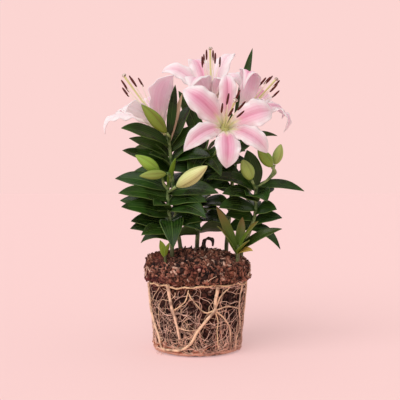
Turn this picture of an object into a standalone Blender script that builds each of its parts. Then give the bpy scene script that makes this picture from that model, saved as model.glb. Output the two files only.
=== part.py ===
# Oriental lily lifted from its pot, standing on its own root ball.
# Metres, +Z up, origin at the middle of the ball's flat foot, -Y towards the viewer.
import math
import random

import bmesh
import bpy
from mathutils import Matrix, Vector, noise
from mathutils.bvhtree import BVHTree

UP = Vector((0.0, 0.0, 1.0))
GAP = 0.0003
WELD = 0.00001
GOLDEN_TURN = math.radians(137.5)

# Root ball, shaped by a 17 cm pot
BALL_SIDES = 32
FOOT_FLAT = 0.058
FOOT_RADIUS = 0.0650
NECK_RADIUS = 0.0728
BAND_RADIUS = 0.0820
BAND_BOTTOM = 0.1055
BAND_TOP = 0.1350
MOUND_TOP = 0.1470
TOP_LEAN = -0.037
SIDE_RELIEF = 0.0024
BAND_RELIEF = 0.0050
TOP_RELIEF = 0.0065
LEAST_RELIEF = 0.45
WALL_GRAIN = 95.0
TOP_GRAIN = 60.0
WALL_FOOT = 0.008
WALL_TOP = 0.1030
WALL_STEPS = 7
FOOT_ROUNDING = 0.42
HOLE_DEPTH = 0.024
HOLE_SIDES = 8

# Leaf and petal sheets
LEAF_ROWS = (0.0, 0.24, 0.52, 0.79, 1.0)
LEAF_THICK = 0.0014
LEAF_FOLD = 0.30
LEAF_ROLL = 1.25
LEAF_RISE = 0.08
PETAL_ROWS = (0.0, 0.16, 0.34, 0.53, 0.72, 0.88, 1.0)
PETAL_THICK = 0.0016
KEEP_CLEAR = 0.0010

# Flower parts
TUBE_LENGTH = 0.036
CUP_RADIUS = 0.0066
CUP_FOOT = 0.0042
CUP_DROP = 0.004
CUP_SIDES = 8
SOCKET_FLOOR = 0.003
SOCKET_DEPTH = 0.0095
CUP_LENGTH = 0.012
SOCKET_RADIUS = 0.0037
PLUG_RADIUS = 0.0029
PLUG_LENGTH = 0.008
STAMEN_REACH = 0.086
STAMEN_SPREAD = 0.012
STYLE_REACH = 0.096
STIGMA_RADIUS = 0.0030
FILAMENT_RADIUS = 0.00075
STYLE_RADIUS = 0.0012
ANTHER_LENGTH = 0.016
ANTHER_RADIUS = 0.0019
STALK_RADIUS = 0.0019
BUD_RIDGE = 0.07

# Petals of each flower: the tip, then the knee that bends the petal (share of the way out, how far
# above the tip along the flower's axis, and lift), the roll in degrees and the greatest width.
# The wide petals are the inner three. A higher bluntness makes fuller tips.
BLOOMS = {
    "front": {
        "foot": (0.0385, -0.022, 0.326),
        "axis": (0.10, -0.965, 0.20),
        "stamen_lean": (0.002, 0.0, 0.009),
        "bluntness": 2.5,
        "petals": (
            ((-0.023, -0.066, 0.384), (0.58, 0.018, -0.004), 0, 0.039),
            ((0.041, -0.060, 0.408), (0.58, 0.016, 0.000), 0, 0.025),
            ((0.112, -0.058, 0.352), (0.58, 0.018, 0.000), 0, 0.040),
            ((0.104, -0.070, 0.288), (0.56, 0.020, 0.006), 0, 0.029),
            ((0.041, -0.084, 0.264), (0.56, 0.020, 0.000), 0, 0.036),
            ((-0.023, -0.080, 0.2900), (0.56, 0.022, 0.014), 0, 0.028),
        ),
    },
    "top": {
        "foot": (0.019, 0.027, 0.356),
        "axis": (0.0, -0.14, 0.99),
        "stamen_lean": (0.0, 0.0, 0.0),
        "bluntness": 1.9,
        "petals": (
            ((-0.056, 0.014, 0.418), (0.60, 0.010, 0.006), -52, 0.030),
            ((-0.012, 0.074, 0.446), (0.52, 0.010, 0.000), 0, 0.038),
            ((0.060, 0.070, 0.455), (0.50, 0.008, 0.000), 0, 0.031),
            ((0.070, 0.014, 0.390), (0.78, 0.046, 0.000), 24, 0.039),
            ((0.046, -0.030, 0.391), (0.62, 0.026, 0.000), 0, 0.027),
            ((-0.013, -0.042, 0.385), (0.62, 0.036, 0.000), 0, 0.038),
        ),
    },
    "left": {
        "foot": (-0.051, 0.004, 0.323),
        "axis": (-0.54, -0.12, 0.83),
        "stamen_lean": (-0.005, 0.0, 0.003),
        "bluntness": 1.7,
        "petals": (
            ((-0.143, -0.010, 0.321), (0.66, 0.034, 0.000), -18, 0.034),
            ((-0.104, -0.070, 0.350), (0.60, 0.014, 0.000), 0, 0.026),
            ((-0.036, -0.042, 0.407), (0.52, -0.006, 0.000), -38, 0.041),
            ((-0.040, 0.030, 0.390), (0.60, 0.016, 0.000), 0, 0.028),
            ((-0.060, 0.074, 0.384), (0.60, 0.030, 0.000), 0, 0.038),
            ((-0.126, 0.054, 0.352), (0.60, 0.026, 0.000), 0, 0.027),
        ),
    },
    "right": {
        "foot": (0.062, 0.022, 0.345),
        "axis": (0.66, -0.24, 0.71),
        "stamen_lean": (-0.006, 0.0, -0.008),
        "bluntness": 1.9,
        "petals": (
            ((0.062, -0.032, 0.386), (0.60, 0.020, 0.058), 26, 0.038),
            ((0.100, -0.050, 0.340), (0.74, 0.026, 0.010), 0, 0.026),
            ((0.133, -0.010, 0.320), (0.80, 0.044, 0.004), 0, 0.036),
            ((0.138, 0.050, 0.350), (0.62, 0.024, 0.000), 0, 0.027),
            ((0.102, 0.086, 0.394), (0.60, 0.026, 0.000), 0, 0.038),
            ((0.070, 0.062, 0.422), (0.60, 0.018, 0.000), 0, 0.027),
        ),
    },
}

# Buds: where the foot and the tip lie, how thick the bud is, and how pointed (lower is blunter).
BUDS = {
    "bud_olive": ((-0.0450, -0.030, 0.320), (-0.0810, -0.042, 0.3605), 0.0165, 0.85),
    "bud_green": ((-0.0540, -0.050, 0.263), (-0.0880, -0.058, 0.2870), 0.0175, 0.80),
    "bud_low": ((-0.0440, -0.056, 0.2605), (-0.0810, -0.074, 0.2570), 0.0135, 0.80),
    "bud_yellow": ((-0.0300, -0.064, 0.2420), (0.0140, -0.082, 0.2710), 0.0205, 0.78),
    "bud_right_low": ((0.0785, -0.030, 0.2520), (0.0645, -0.038, 0.2810), 0.0190, 0.66),
    "bud_right_mid": ((0.1095, -0.020, 0.2710), (0.0880, -0.028, 0.2970), 0.0175, 0.72),
    "bud_right_high": ((0.1150, -0.002, 0.2750), (0.1243, -0.006, 0.3055), 0.0150, 0.66),
}

# Stems: the route of each, its side stalks (the last point is where a bloom or bud sits),
# leaves that the plant shows one by one (height on the stem, tip, width, arch),
# and a spiral of further leaves (number, lowest, highest, length, rise at the bottom and at the top
# in degrees, turn).
STEMS = {
    "stem_left_front": {
        "radius": 0.0033,
        "route": (
            (-0.037, -0.035, 0.150), (-0.039, -0.035, 0.185), (-0.0425, -0.035, 0.217),
            (-0.0430, -0.036, 0.239),
        ),
        "stalks": (
            ("bud_green", ((-0.0430, -0.036, 0.236), (-0.0490, -0.040, 0.247))),
            ("bud_low", ((-0.0430, -0.036, 0.237), (-0.0390, -0.046, 0.252))),
            ("bud_yellow", ((-0.0430, -0.036, 0.234), (-0.0380, -0.050, 0.2365))),
        ),
        "leaves": (
            (0.238, (-0.120, -0.030, 0.254), 0.029, 0.002),
            (0.223, (-0.112, -0.058, 0.233), 0.028, 0.002),
            (0.209, (-0.113, -0.030, 0.222), 0.029, 0.000),
            (0.200, (-0.107, -0.066, 0.214), 0.032, 0.000),
            (0.184, (-0.095, -0.052, 0.193), 0.028, 0.002),
            (0.172, (-0.078, -0.078, 0.175), 0.024, 0.006),
            (0.163, (-0.083, -0.030, 0.160), 0.020, 0.014),
            (0.233, (0.030, -0.054, 0.233), 0.029, 0.002),
            (0.217, (0.013, -0.066, 0.221), 0.026, 0.004),
            (0.206, (0.012, -0.084, 0.199), 0.032, 0.012),
            (0.190, (0.006, -0.062, 0.180), 0.027, 0.010),
            (0.188, (-0.033, -0.100, 0.158), 0.034, 0.018),
            (0.240, (-0.031, -0.062, 0.283), 0.010, 0.000),
        ),
        "spiral": (7, 0.166, 0.228, 0.062, 4, 14, 1.0),
    },
    "stem_left_back": {
        "radius": 0.0033,
        "route": (
            (-0.026, 0.004, 0.150), (-0.034, 0.003, 0.205), (-0.0385, 0.001, 0.270),
            (-0.0430, -0.002, 0.312),
        ),
        "stalks": (
            ("left", ((-0.0425, -0.001, 0.305), (-0.0450, 0.002, 0.3125))),
            ("bud_olive", ((-0.0430, -0.002, 0.309), (-0.0405, -0.020, 0.3135))),
        ),
        "leaves": (
            (0.304, (-0.115, -0.026, 0.327), 0.032, 0.002),
            (0.288, (-0.103, 0.004, 0.315), 0.022, 0.000),
            (0.262, (-0.109, -0.032, 0.295), 0.034, 0.000),
            (0.276, (-0.096, 0.024, 0.302), 0.029, 0.002),
            (0.312, (-0.0365, -0.018, 0.398), 0.014, 0.000),
            (0.306, (-0.0225, 0.000, 0.3815), 0.009, 0.000),
            (0.268, (0.008, -0.004, 0.266), 0.028, 0.004),
            (0.244, (0.004, -0.020, 0.256), 0.028, 0.004),
            (0.250, (-0.102, 0.022, 0.262), 0.029, 0.004),
            (0.284, (0.020, -0.024, 0.286), 0.029, 0.002),
            (0.228, (0.024, -0.014, 0.240), 0.028, 0.004),
            (0.200, (0.014, -0.022, 0.204), 0.028, 0.004),
            (0.302, (-0.0100, 0.0100, 0.366), 0.026, 0.000),
            (0.294, (0.0060, 0.0080, 0.334), 0.027, 0.002),
        ),
        "spiral": (9, 0.172, 0.296, 0.066, 2, 34, 2.2),
    },
    "stem_centre": {
        "radius": 0.0035,
        "route": (
            (-0.001, 0.030, 0.150), (0.002, 0.030, 0.200), (0.006, 0.028, 0.250), (0.012, 0.026, 0.300),
        ),
        "stalks": (
            ("top", ((0.0120, 0.026, 0.297), (0.0175, 0.0285, 0.322), (0.0190, 0.0290, 0.342))),
            ("front", ((0.0100, 0.027, 0.272), (0.0220, 0.008, 0.284), (0.0298, -0.0132, 0.3000))),
        ),
        "leaves": (
            (0.296, (-0.029, 0.020, 0.388), 0.024, 0.000),
            (0.252, (0.008, -0.050, 0.246), 0.032, 0.008),
            (0.284, (-0.014, -0.040, 0.262), 0.029, 0.016),
            (0.280, (0.034, -0.036, 0.258), 0.029, 0.014),
            (0.262, (0.058, -0.010, 0.262), 0.027, 0.008),
            (0.288, (0.072, 0.006, 0.296), 0.026, 0.004),
            (0.278, (0.066, 0.000, 0.278), 0.027, 0.004),
            (0.292, (-0.032, -0.008, 0.302), 0.027, 0.004),
            (0.268, (-0.040, -0.006, 0.280), 0.027, 0.004),
            (0.236, (0.050, -0.018, 0.240), 0.028, 0.006),
            (0.270, (-0.052, 0.034, 0.268), 0.028, 0.004),
            (0.240, (-0.050, 0.026, 0.242), 0.028, 0.004),
            (0.216, (-0.020, -0.026, 0.224), 0.028, 0.004),
            (0.212, (0.048, -0.022, 0.214), 0.028, 0.004),
            (0.190, (0.040, -0.024, 0.188), 0.028, 0.006),
            (0.186, (-0.018, -0.028, 0.184), 0.026, 0.006),
            (0.272, (0.0780, 0.0200, 0.280), 0.028, 0.004),
        ),
        "spiral": (9, 0.172, 0.288, 0.066, 0, 36, 0.4),
    },
    "stem_right": {
        "radius": 0.0031,
        "route": (
            (0.066, 0.004, 0.146), (0.0755, 0.001, 0.168), (0.0838, -0.004, 0.192), (0.0872, -0.005, 0.212),
            (0.0864, -0.005, 0.229), (0.0885, -0.004, 0.244),
        ),
        "stalks": (
            ("bud_right_low", ((0.0868, -0.005, 0.236), (0.0840, -0.020, 0.241))),
            ("bud_right_high", ((0.0885, -0.004, 0.241), (0.1030, -0.004, 0.251), (0.1125, -0.001, 0.263))),
            ("bud_right_mid", ((0.1030, -0.004, 0.251), (0.1150, -0.014, 0.262))),
        ),
        "leaves": (
            (0.243, (0.1595, -0.004, 0.2355), 0.018, 0.003),
            (0.240, (0.073, -0.016, 0.296), 0.028, 0.000),
            (0.226, (0.100, -0.046, 0.221), 0.029, 0.008),
            (0.236, (0.014, -0.020, 0.254), 0.023, 0.008),
            (0.222, (0.036, -0.036, 0.232), 0.027, 0.004),
            (0.208, (0.031, -0.042, 0.212), 0.029, 0.002),
            (0.186, (0.125, -0.016, 0.196), 0.022, 0.004),
            (0.176, (0.122, -0.022, 0.150), 0.017, 0.014),
        ),
        "spiral": (7, 0.184, 0.238, 0.045, 6, 20, 0.9),
    },
    "stem_right_back": {
        "radius": 0.0033,
        "route": (
            (0.045, 0.045, 0.150), (0.050, 0.044, 0.200), (0.054, 0.042, 0.250), (0.056, 0.040, 0.296),
            (0.056, 0.038, 0.318),
        ),
        "stalks": (
            ("right", ((0.0560, 0.038, 0.316), (0.0510, 0.032, 0.328), (0.0520, 0.0256, 0.3343))),
        ),
        "leaves": (
            (0.318, (0.0890, 0.090, 0.4665), 0.015, 0.000),
            (0.306, (0.122, 0.024, 0.320), 0.014, 0.006),
            (0.314, (0.042, -0.002, 0.372), 0.020, 0.000),
        ),
        "spiral": (10, 0.176, 0.306, 0.064, 2, 40, 0.0),
    },
    "shoot_right": {
        "radius": 0.0030,
        "route": ((0.058, -0.041, 0.140), (0.059, -0.042, 0.158)),
        "stalks": (),
        "leaves": (
            (0.143, (0.027, -0.047, 0.213), 0.014, 0.000),
            (0.144, (0.028, -0.060, 0.187), 0.012, 0.000),
            (0.152, (0.086, -0.058, 0.193), 0.021, 0.000),
            (0.150, (0.121, -0.050, 0.182), 0.016, 0.002),
            (0.146, (0.073, -0.070, 0.167), 0.017, 0.000),
            (0.149, (0.066, -0.028, 0.198), 0.014, 0.000),
            (0.145, (0.078, -0.064, 0.152), 0.011, 0.002),
        ),
        "spiral": (0, 0.0, 0.0, 0.0, 0, 0, 0.0),
    },
    "shoot_left": {
        "radius": 0.0022,
        "route": ((-0.046, -0.052, 0.140), (-0.046, -0.052, 0.148)),
        "stalks": (),
        "leaves": (
            (0.140, (-0.053, -0.058, 0.166), 0.010, 0.000),
            (0.142, (-0.040, -0.061, 0.163), 0.009, 0.000),
        ),
        "spiral": (0, 0.0, 0.0, 0.0, 0, 0, 0.0),
    },
}
LEAFY_ORDER = (
    "shoot_right", "shoot_left", "stem_left_front", "stem_right",
    "stem_left_back", "stem_centre", "stem_right_back",
)

# Ways to bend a leaf clear of its neighbours: turn and lift in degrees, then a share of its length.
BENDS = (
    (0, 0, 1.0), (9, 0, 1.0), (-9, 0, 1.0), (0, 9, 1.0), (18, 4, 1.0), (-18, 4, 1.0), (0, -9, 0.95),
    (9, 16, 0.9), (-9, 16, 0.9), (30, 0, 0.9), (-30, 0, 0.9), (0, 26, 0.85), (24, -12, 0.8),
    (-24, -12, 0.8), (45, 10, 0.75), (-45, 10, 0.75), (70, 14, 0.7), (-70, 14, 0.7), (0, 40, 0.65),
    (100, 16, 0.6), (-100, 16, 0.6),
)

# Roots on the ball: each is a list of (degrees round the ball from the front, height), then a radius.
# A root's inner side lies at ROOT_SEAT from the wall's unworn radius.
MAIN_ROOTS = (
    (((-34, 0.101), (-31, 0.074), (-27, 0.056), (-24, 0.042), (-22, 0.026)), 0.0025),
    (((23, 0.101), (20, 0.077), (20, 0.068), (11, 0.055), (-1, 0.036), (-8, 0.021), (-22, 0.010),
      (-48, 0.008)), 0.0025),
    (((-78, 0.100), (-76, 0.070), (-68, 0.046), (-57, 0.028), (-51, 0.010), (-44, 0.005)), 0.0021),
    (((62, 0.100), (58, 0.070), (64, 0.040), (56, 0.018), (58, 0.004)), 0.0013),
    (((96, 0.100), (92, 0.066), (100, 0.034), (96, 0.004)), 0.0018),
    (((132, 0.100), (138, 0.070), (130, 0.036), (140, 0.004)), 0.0021),
    (((176, 0.100), (168, 0.068), (180, 0.030), (174, 0.004)), 0.0017),
    (((-140, 0.100), (-148, 0.070), (-138, 0.034), (-150, 0.004)), 0.0021),
    (((-108, 0.100), (-104, 0.068), (-114, 0.032), (-106, 0.004)), 0.0018),
    (((20, 0.068), (39, 0.071), (61, 0.064)), 0.0010),
    (((20, 0.068), (32, 0.056), (43, 0.038), (46, 0.015), (47, 0.004)), 0.0012),
    (((20, 0.068), (25, 0.051), (24, 0.034), (27, 0.012)), 0.0010),
    (((20, 0.068), (9, 0.065), (-3, 0.079), (-11, 0.094)), 0.0011),
    (((20, 0.068), (28, 0.088), (38, 0.098)), 0.0012),
    (((-31, 0.065), (-15, 0.079), (-10, 0.097)), 0.0010),
    (((-25, 0.042), (-11, 0.039), (2, 0.041)), 0.0010),
)
FINE_ROOTS = 8
FINE_RADIUS = 0.0008
RING_POINTS = 26
ROOT_SEED = 7
ROOT_SEAT = -0.0004


def clear_scene():
    for thing in list(bpy.data.objects):
        bpy.data.objects.remove(thing, do_unlink=True)
    for group in list(bpy.data.collections):
        bpy.data.collections.remove(group)


def new_collection(name):
    group = bpy.data.collections.new(name)
    bpy.context.scene.collection.children.link(group)
    return group


def material(name, colour, roughness):
    made = bpy.data.materials.new(name)
    made.use_nodes = True
    shader = made.node_tree.nodes["Principled BSDF"]
    shader.inputs["Base Color"].default_value = (*colour, 1.0)
    shader.inputs["Roughness"].default_value = roughness
    return made


def object_of(mesh_data, name, group):
    """Puts a bmesh into a new object of this collection."""
    mesh = bpy.data.meshes.new(name)
    mesh_data.to_mesh(mesh)
    mesh_data.free()
    made = bpy.data.objects.new(name, mesh)
    group.objects.link(made)
    return made


def baked(source, name, group):
    """The evaluated mesh of an object as a new object, with the first one removed."""
    bpy.context.view_layer.update()
    mesh = bpy.data.meshes.new_from_object(source.evaluated_get(bpy.context.evaluated_depsgraph_get()))
    made = bpy.data.objects.new(name, mesh)
    made.matrix_world = source.matrix_world
    group.objects.link(made)
    bpy.data.objects.remove(source, do_unlink=True)
    return made


def boolean(target, others, operation):
    """One Boolean of all the other objects on the target, applied; the others are removed."""
    tools = new_collection("tools")
    for other in others:
        for owner in list(other.users_collection):
            owner.objects.unlink(other)
        tools.objects.link(other)
    change = target.modifiers.new("join", "BOOLEAN")
    change.operand_type = "COLLECTION"
    change.collection = tools
    change.operation = operation
    change.solver = "MANIFOLD"
    made = baked(target, target.name, target.users_collection[0])
    for other in others:
        bpy.data.objects.remove(other, do_unlink=True)
    bpy.data.collections.remove(tools)
    return made


def turned_to(axis, place):
    return Matrix.Translation(place) @ UP.rotation_difference(axis).to_matrix().to_4x4()


def plain_cone(place, axis, radii, length, sides, group):
    """A cone or cylinder that starts at the place and runs along the axis."""
    cone = bmesh.new()
    bmesh.ops.create_cone(
        cone, cap_ends=True, segments=sides, radius1=radii[0], radius2=radii[1], depth=length,
        matrix=turned_to(axis, place + axis * (length / 2)),
    )
    return object_of(cone, "cone", group)


def drop_scraps(made):
    """Keeps the largest joined body of a mesh, without the crumbs that a cut leaves."""
    mesh = bmesh.new()
    mesh.from_mesh(made.data)
    left = set(mesh.verts)
    bodies = []
    while left:
        body, edge = set(), [left.pop()]
        while edge:
            point = edge.pop()
            body.add(point)
            near = [e.other_vert(point) for e in point.link_edges]
            fresh = [other for other in near if other in left]
            left.difference_update(fresh)
            edge += fresh
        bodies.append(body)
    bodies.sort(key=len)
    for body in bodies[:-1]:
        bmesh.ops.delete(mesh, geom=list(body), context="VERTS")
    mesh.to_mesh(made.data)
    mesh.free()


def finish_node(made, name, group, look):
    drop_scraps(made)
    made.name = name
    made.data.name = name
    made.data.materials.clear()
    made.data.materials.append(look)
    for owner in list(made.users_collection):
        owner.objects.unlink(made)
    group.objects.link(made)
    return made


def bezier(points, u):
    a, b, c, d = points
    v = 1.0 - u
    return a * v**3 + b * (3 * v * v * u) + c * (3 * v * u * u) + d * u**3


def bezier_tangent(points, u):
    a, b, c, d = points
    v = 1.0 - u
    return ((b - a) * v * v + (c - b) * (2 * v * u) + (d - c) * u * u).normalized()


# Sheets: a grid whose points are placed by a function of u (root to tip) and v (-1 to 1 across)


def blade(place, rows, thick, group):
    """A closed blade, thickest along its midrib: a grid wrapped once round its lens-shaped section."""
    section = ((-1.0, 0.0), (0.0, thick / 2), (1.0, 0.0), (0.0, -thick / 2), (-1.0, 0.0))
    skin = bmesh.new()
    bmesh.ops.create_grid(skin, x_segments=len(section) - 1, y_segments=len(rows) - 1, size=1.0)
    for point in skin.verts:
        row = round((point.co.y + 1.0) / 2.0 * (len(rows) - 1))
        v, shift = section[round((point.co.x + 1.0) / 2.0 * (len(section) - 1))]
        point.co = place(rows[row], v, shift if row < len(rows) - 1 else 0.0)
    bmesh.ops.remove_doubles(skin, verts=skin.verts, dist=WELD)
    bmesh.ops.holes_fill(skin, edges=skin.edges, sides=4)
    bmesh.ops.triangulate(skin, faces=skin.faces)
    bmesh.ops.recalc_face_normals(skin, faces=skin.faces)
    return object_of(skin, "blade", group)


def sheet_tree(place, rows, columns):
    """Search tree of the sheet and of two copies of it, one on each side at the clearance."""
    points, faces = [], []
    across = [2.0 * c / columns - 1.0 for c in range(columns + 1)]
    for shift in (-KEEP_CLEAR, 0.0, KEEP_CLEAR):
        first = len(points)
        for u in rows:
            points += [place(u, v, shift) for v in across]
        for row in range(len(rows) - 1):
            for column in range(columns):
                a = first + row * (columns + 1) + column
                b = a + columns + 1
                faces += [(a, a + 1, b + 1), (a, b + 1, b)]
    return BVHTree.FromPolygons(points, faces)


# Tubes


def tube(points, radii, sides_step, group, ring=False):
    """A tube along the points, closed on itself if a ring; sides_step 0 gives four sides and 1 gives six."""
    curve = bpy.data.curves.new("tube", "CURVE")
    curve.dimensions = "3D"
    curve.bevel_depth = 1.0
    curve.bevel_resolution = sides_step
    curve.use_fill_caps = True
    line = curve.splines.new("POLY")
    line.use_cyclic_u = ring
    line.points.add(len(points) - 1)
    for point, place, radius in zip(line.points, points, radii):
        point.co = (*place, 1.0)
        point.radius = radius
    guide = bpy.data.objects.new("tube", curve)
    group.objects.link(guide)
    made = baked(guide, "tube", group)
    welded = bmesh.new()
    welded.from_mesh(made.data)
    bmesh.ops.remove_doubles(welded, verts=welded.verts, dist=WELD)
    welded.to_mesh(made.data)
    welded.free()
    return made


def smooth_route(points, steps):
    """A Catmull-Rom line through the points."""
    points = [Vector(p) for p in points]
    ends = [points[0] * 2 - points[1]] + points + [points[-1] * 2 - points[-2]]
    line = []
    for i in range(1, len(ends) - 2):
        a, b, c, d = ends[i - 1 : i + 3]
        for step in range(steps):
            t = step / steps
            slope = c - a
            curve = a * 2 - b * 5 + c * 4 - d
            twist = b * 3 - a - c * 3 + d
            line.append(0.5 * (b * 2 + slope * t + curve * t * t + twist * t**3))
    return line + [points[-1]]


# Root ball


def ball_profile():
    """(radius, height, depth of side relief, share of top relief) from the foot's middle to the mound's."""
    rows = [(radius, 0.0, 0.0, 0.0) for radius in (0.0, FOOT_FLAT / 2, FOOT_FLAT)]
    rows.append((FOOT_RADIUS - 0.003, 0.0022, SIDE_RELIEF * 0.4, 0.0))
    for step in range(WALL_STEPS + 1):
        height = WALL_FOOT + (WALL_TOP - WALL_FOOT) * step / WALL_STEPS
        rows.append((wall_radius(height), height, SIDE_RELIEF, 0.0))
    rows.append((BAND_RADIUS - 0.001, BAND_BOTTOM + 0.0012, BAND_RELIEF * 0.5, 0.0))
    rows += [(BAND_RADIUS, BAND_BOTTOM + rise, BAND_RELIEF, 0.1) for rise in (0.010, 0.020)]
    rows.append((BAND_RADIUS - 0.001, BAND_TOP - 0.003, BAND_RELIEF, 0.5))
    rows.append((BAND_RADIUS - 0.007, BAND_TOP, 0.0, 1.0))
    for radius in (0.064, 0.052, 0.040, 0.028, 0.015, 0.0):
        rows.append((radius, mound(radius), 0.0, 1.0))
    return rows


def mound(radius):
    """Height of the soil's top at this radius, before lean and relief."""
    return BAND_TOP + (MOUND_TOP - BAND_TOP) * (1.0 - (radius / BAND_RADIUS) ** 2)


def wall_radius(height):
    """Radius of the wall below the band, before relief."""
    share = min(max((height - WALL_FOOT) / (WALL_TOP - WALL_FOOT), 0.0), 1.0)
    rounding = max(WALL_FOOT - height, 0.0) * FOOT_ROUNDING
    return FOOT_RADIUS + (NECK_RADIUS - FOOT_RADIUS) * share - rounding


def soil_top(x, y):
    """Height of the soil's top before relief."""
    return mound(min(math.hypot(x, y), BAND_RADIUS)) + TOP_LEAN * x


def soil_point(row, angle):
    """A point of the ball's skin: its wall worn inwards, its top lumpy and leaning."""
    radius, height, side, top = row
    across = Vector((math.cos(angle), math.sin(angle), 0.0))
    spot = across * radius + UP * height
    rough = min(max(0.75 + 0.75 * noise.noise(spot * WALL_GRAIN), 0.0), 1.0)
    lump = noise.noise(spot * TOP_GRAIN + Vector((3.0, 1.0, 7.0)))
    out = across * (radius - side * (LEAST_RELIEF + (1.0 - LEAST_RELIEF) * rough))
    return out + UP * (height + top * (TOP_RELIEF * lump + TOP_LEAN * out.x))


def soil_ball(group, look, holes):
    rows = ball_profile()
    ball = bmesh.new()
    bmesh.ops.create_uvsphere(ball, u_segments=BALL_SIDES, v_segments=len(rows) - 1, radius=1.0)
    for point in ball.verts:
        polar = math.acos(max(-1.0, min(1.0, -point.co.z)))
        row = rows[round(polar / math.pi * (len(rows) - 1))]
        angle = math.atan2(point.co.y, point.co.x)
        point.co = soil_point(row, angle)
    bmesh.ops.triangulate(ball, faces=ball.faces)
    made = object_of(ball, "soil", group)
    return finish_node(boolean(made, holes, "DIFFERENCE"), "soil_ball", group, look)


def stem_hole(place, radius, group):
    """A plain round hole that a stem stands in."""
    x, y, _ = place
    floor = Vector((x, y, soil_top(x, y) - HOLE_DEPTH))
    wide = (radius + 2 * GAP) / math.cos(math.pi / HOLE_SIDES)
    made = plain_cone(floor, UP, (wide, wide), HOLE_DEPTH * 2.5, HOLE_SIDES, group)
    made.hide_render = True
    made.display_type = "WIRE"
    return made


# Root net


def on_wall(angle, height, lift):
    radius = wall_radius(height) + lift
    turn = math.radians(angle - 90.0)
    return Vector((math.cos(turn) * radius, math.sin(turn) * radius, height))


def wall_line(track):
    """Points along a track on the wall, close enough round the ball for straight runs to clear it."""
    line = smooth_route([(a, h, 0.0) for a, h in track], 4)
    kept = [line[0]]
    for point in line[1:-1]:
        if abs(point.x - kept[-1].x) > 10.0 or abs(point.y - kept[-1].y) > 0.017:
            kept.append(point)
    return kept + [line[-1]]


def wall_root(track, radius, group, sides_step):
    """A root along (angle, height) points, lying on the wall."""
    line = wall_line(track)
    places = [on_wall(p.x, max(p.y, radius + GAP), radius + ROOT_SEAT) for p in line]
    radii = [radius * (1.0 - 0.35 * i / (len(line) - 1)) for i in range(len(line))]
    return tube(places, radii, sides_step, group)


def ring_root(height, radius, sway, group):
    """A closed root round the ball at a wandering height."""
    places = []
    for step in range(RING_POINTS):
        turn = 2 * math.pi * step / RING_POINTS
        level = height + sway * (math.sin(turn * 3) + 0.5 * math.sin(turn * 7))
        places.append(on_wall(math.degrees(turn), level, radius + ROOT_SEAT))
    return tube(places, [radius] * RING_POINTS, 0, group, ring=True)


def fine_tracks():
    """Thin roots that wander between the two rings, each from a seeded draw."""
    draw = random.Random(ROOT_SEED)
    tracks = []
    for number in range(FINE_ROOTS):
        start = 360.0 * number / FINE_ROOTS + draw.uniform(-5, 5)
        lean = draw.choice((-1, 1)) * draw.uniform(16, 44)
        top = 0.100 if number % 2 else draw.uniform(0.055, 0.075)
        heights = [top, top * 0.5, 0.004]
        turns = [0.0, 0.4, 1.0]
        tracks.append([(start + lean * t + draw.uniform(-4, 4), h) for t, h in zip(turns, heights)])
    return tracks


def root_net(group, look):
    first = ring_root(BAND_BOTTOM - 0.0045, 0.0012, 0.0010, group)
    others = [ring_root(0.0044, 0.0019, 0.0009, group)]
    others += [wall_root(track, radius, group, 1 if radius > 0.0022 else 0) for track, radius in MAIN_ROOTS]
    others += [wall_root(track, FINE_RADIUS, group, 0) for track in fine_tracks()]
    return finish_node(boolean(first, others, "UNION"), "root_net", group, look)


# Flowers


def petal_width(u, bluntness):
    """Share of the greatest half width at u."""
    widest = 0.60
    if u < widest:
        rise = (u / widest) ** 0.85
        return 0.22 + 0.78 * rise * rise * (3.0 - 2.0 * rise)
    return 1.0 - ((u - widest) / (1.0 - widest)) ** bluntness


def petal_place(foot, axis, bluntness, petal, number):
    """Places a petal's points; even petals are the wide inner ones."""
    tip, (pull, arch, lift), roll, width = Vector(petal[0]), *petal[1:]
    height = (tip - foot).dot(axis)
    sideways = tip - foot - axis * height
    out = sideways.normalized()
    knee = foot + axis * (height + arch) + sideways * pull + UP * lift
    across = axis.cross(out)
    inset = 0.0 if width > 0.033 else 0.0012
    start = foot + out * (0.0040 + inset * 0.3)
    line = (start, foot + axis * TUBE_LENGTH + out * (0.0062 + inset), knee, tip)
    wave = 0.10 if width > 0.033 else 0.05

    def place(u, v, shift=0.0):
        along = bezier_tangent(line, u)
        side = Matrix.Rotation(math.radians(roll) * min(1.0, 1.5 * u), 3, along) @ across
        inner = side.cross(along).normalized()
        half = width / 2 * petal_width(u, bluntness)
        cup = 0.55 * (1.0 - u) ** 2 * min(1.0, 5.0 * u) - 0.10 * u
        ripple = wave * math.sin(u * 11.0 + number * 1.9 + v) * v * v * math.sin(math.pi * u)
        return bezier(line, u) + side * (half * v) + inner * (half * (cup * v * v + ripple) + shift)

    return place


def bloom_parts(name):
    data = BLOOMS[name]
    return Vector(data["foot"]), Vector(data["axis"]).normalized()


def bloom(name, group, look):
    """Six petals on a small cup, with a socket for the stamens."""
    foot, axis = bloom_parts(name)
    low = foot - axis * CUP_DROP
    cup = plain_cone(low, axis, (CUP_FOOT, CUP_RADIUS), CUP_LENGTH + CUP_DROP, CUP_SIDES, group)
    petals = [
        blade(petal_place(foot, axis, BLOOMS[name]["bluntness"], petal, number), PETAL_ROWS,
              PETAL_THICK, group)
        for number, petal in enumerate(BLOOMS[name]["petals"])
    ]
    whole = boolean(cup, petals, "UNION")
    floor = foot + axis * SOCKET_FLOOR
    socket = plain_cone(floor, axis, (SOCKET_RADIUS, SOCKET_RADIUS), SOCKET_DEPTH, CUP_SIDES, group)
    return finish_node(boolean(whole, [socket], "DIFFERENCE"), "bloom_" + name, group, look)


def spoke(start, end, radii, sides, group):
    """A straight tapered rod between two points."""
    return plain_cone(start, (end - start).normalized(), radii, (end - start).length, sides, group)


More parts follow.
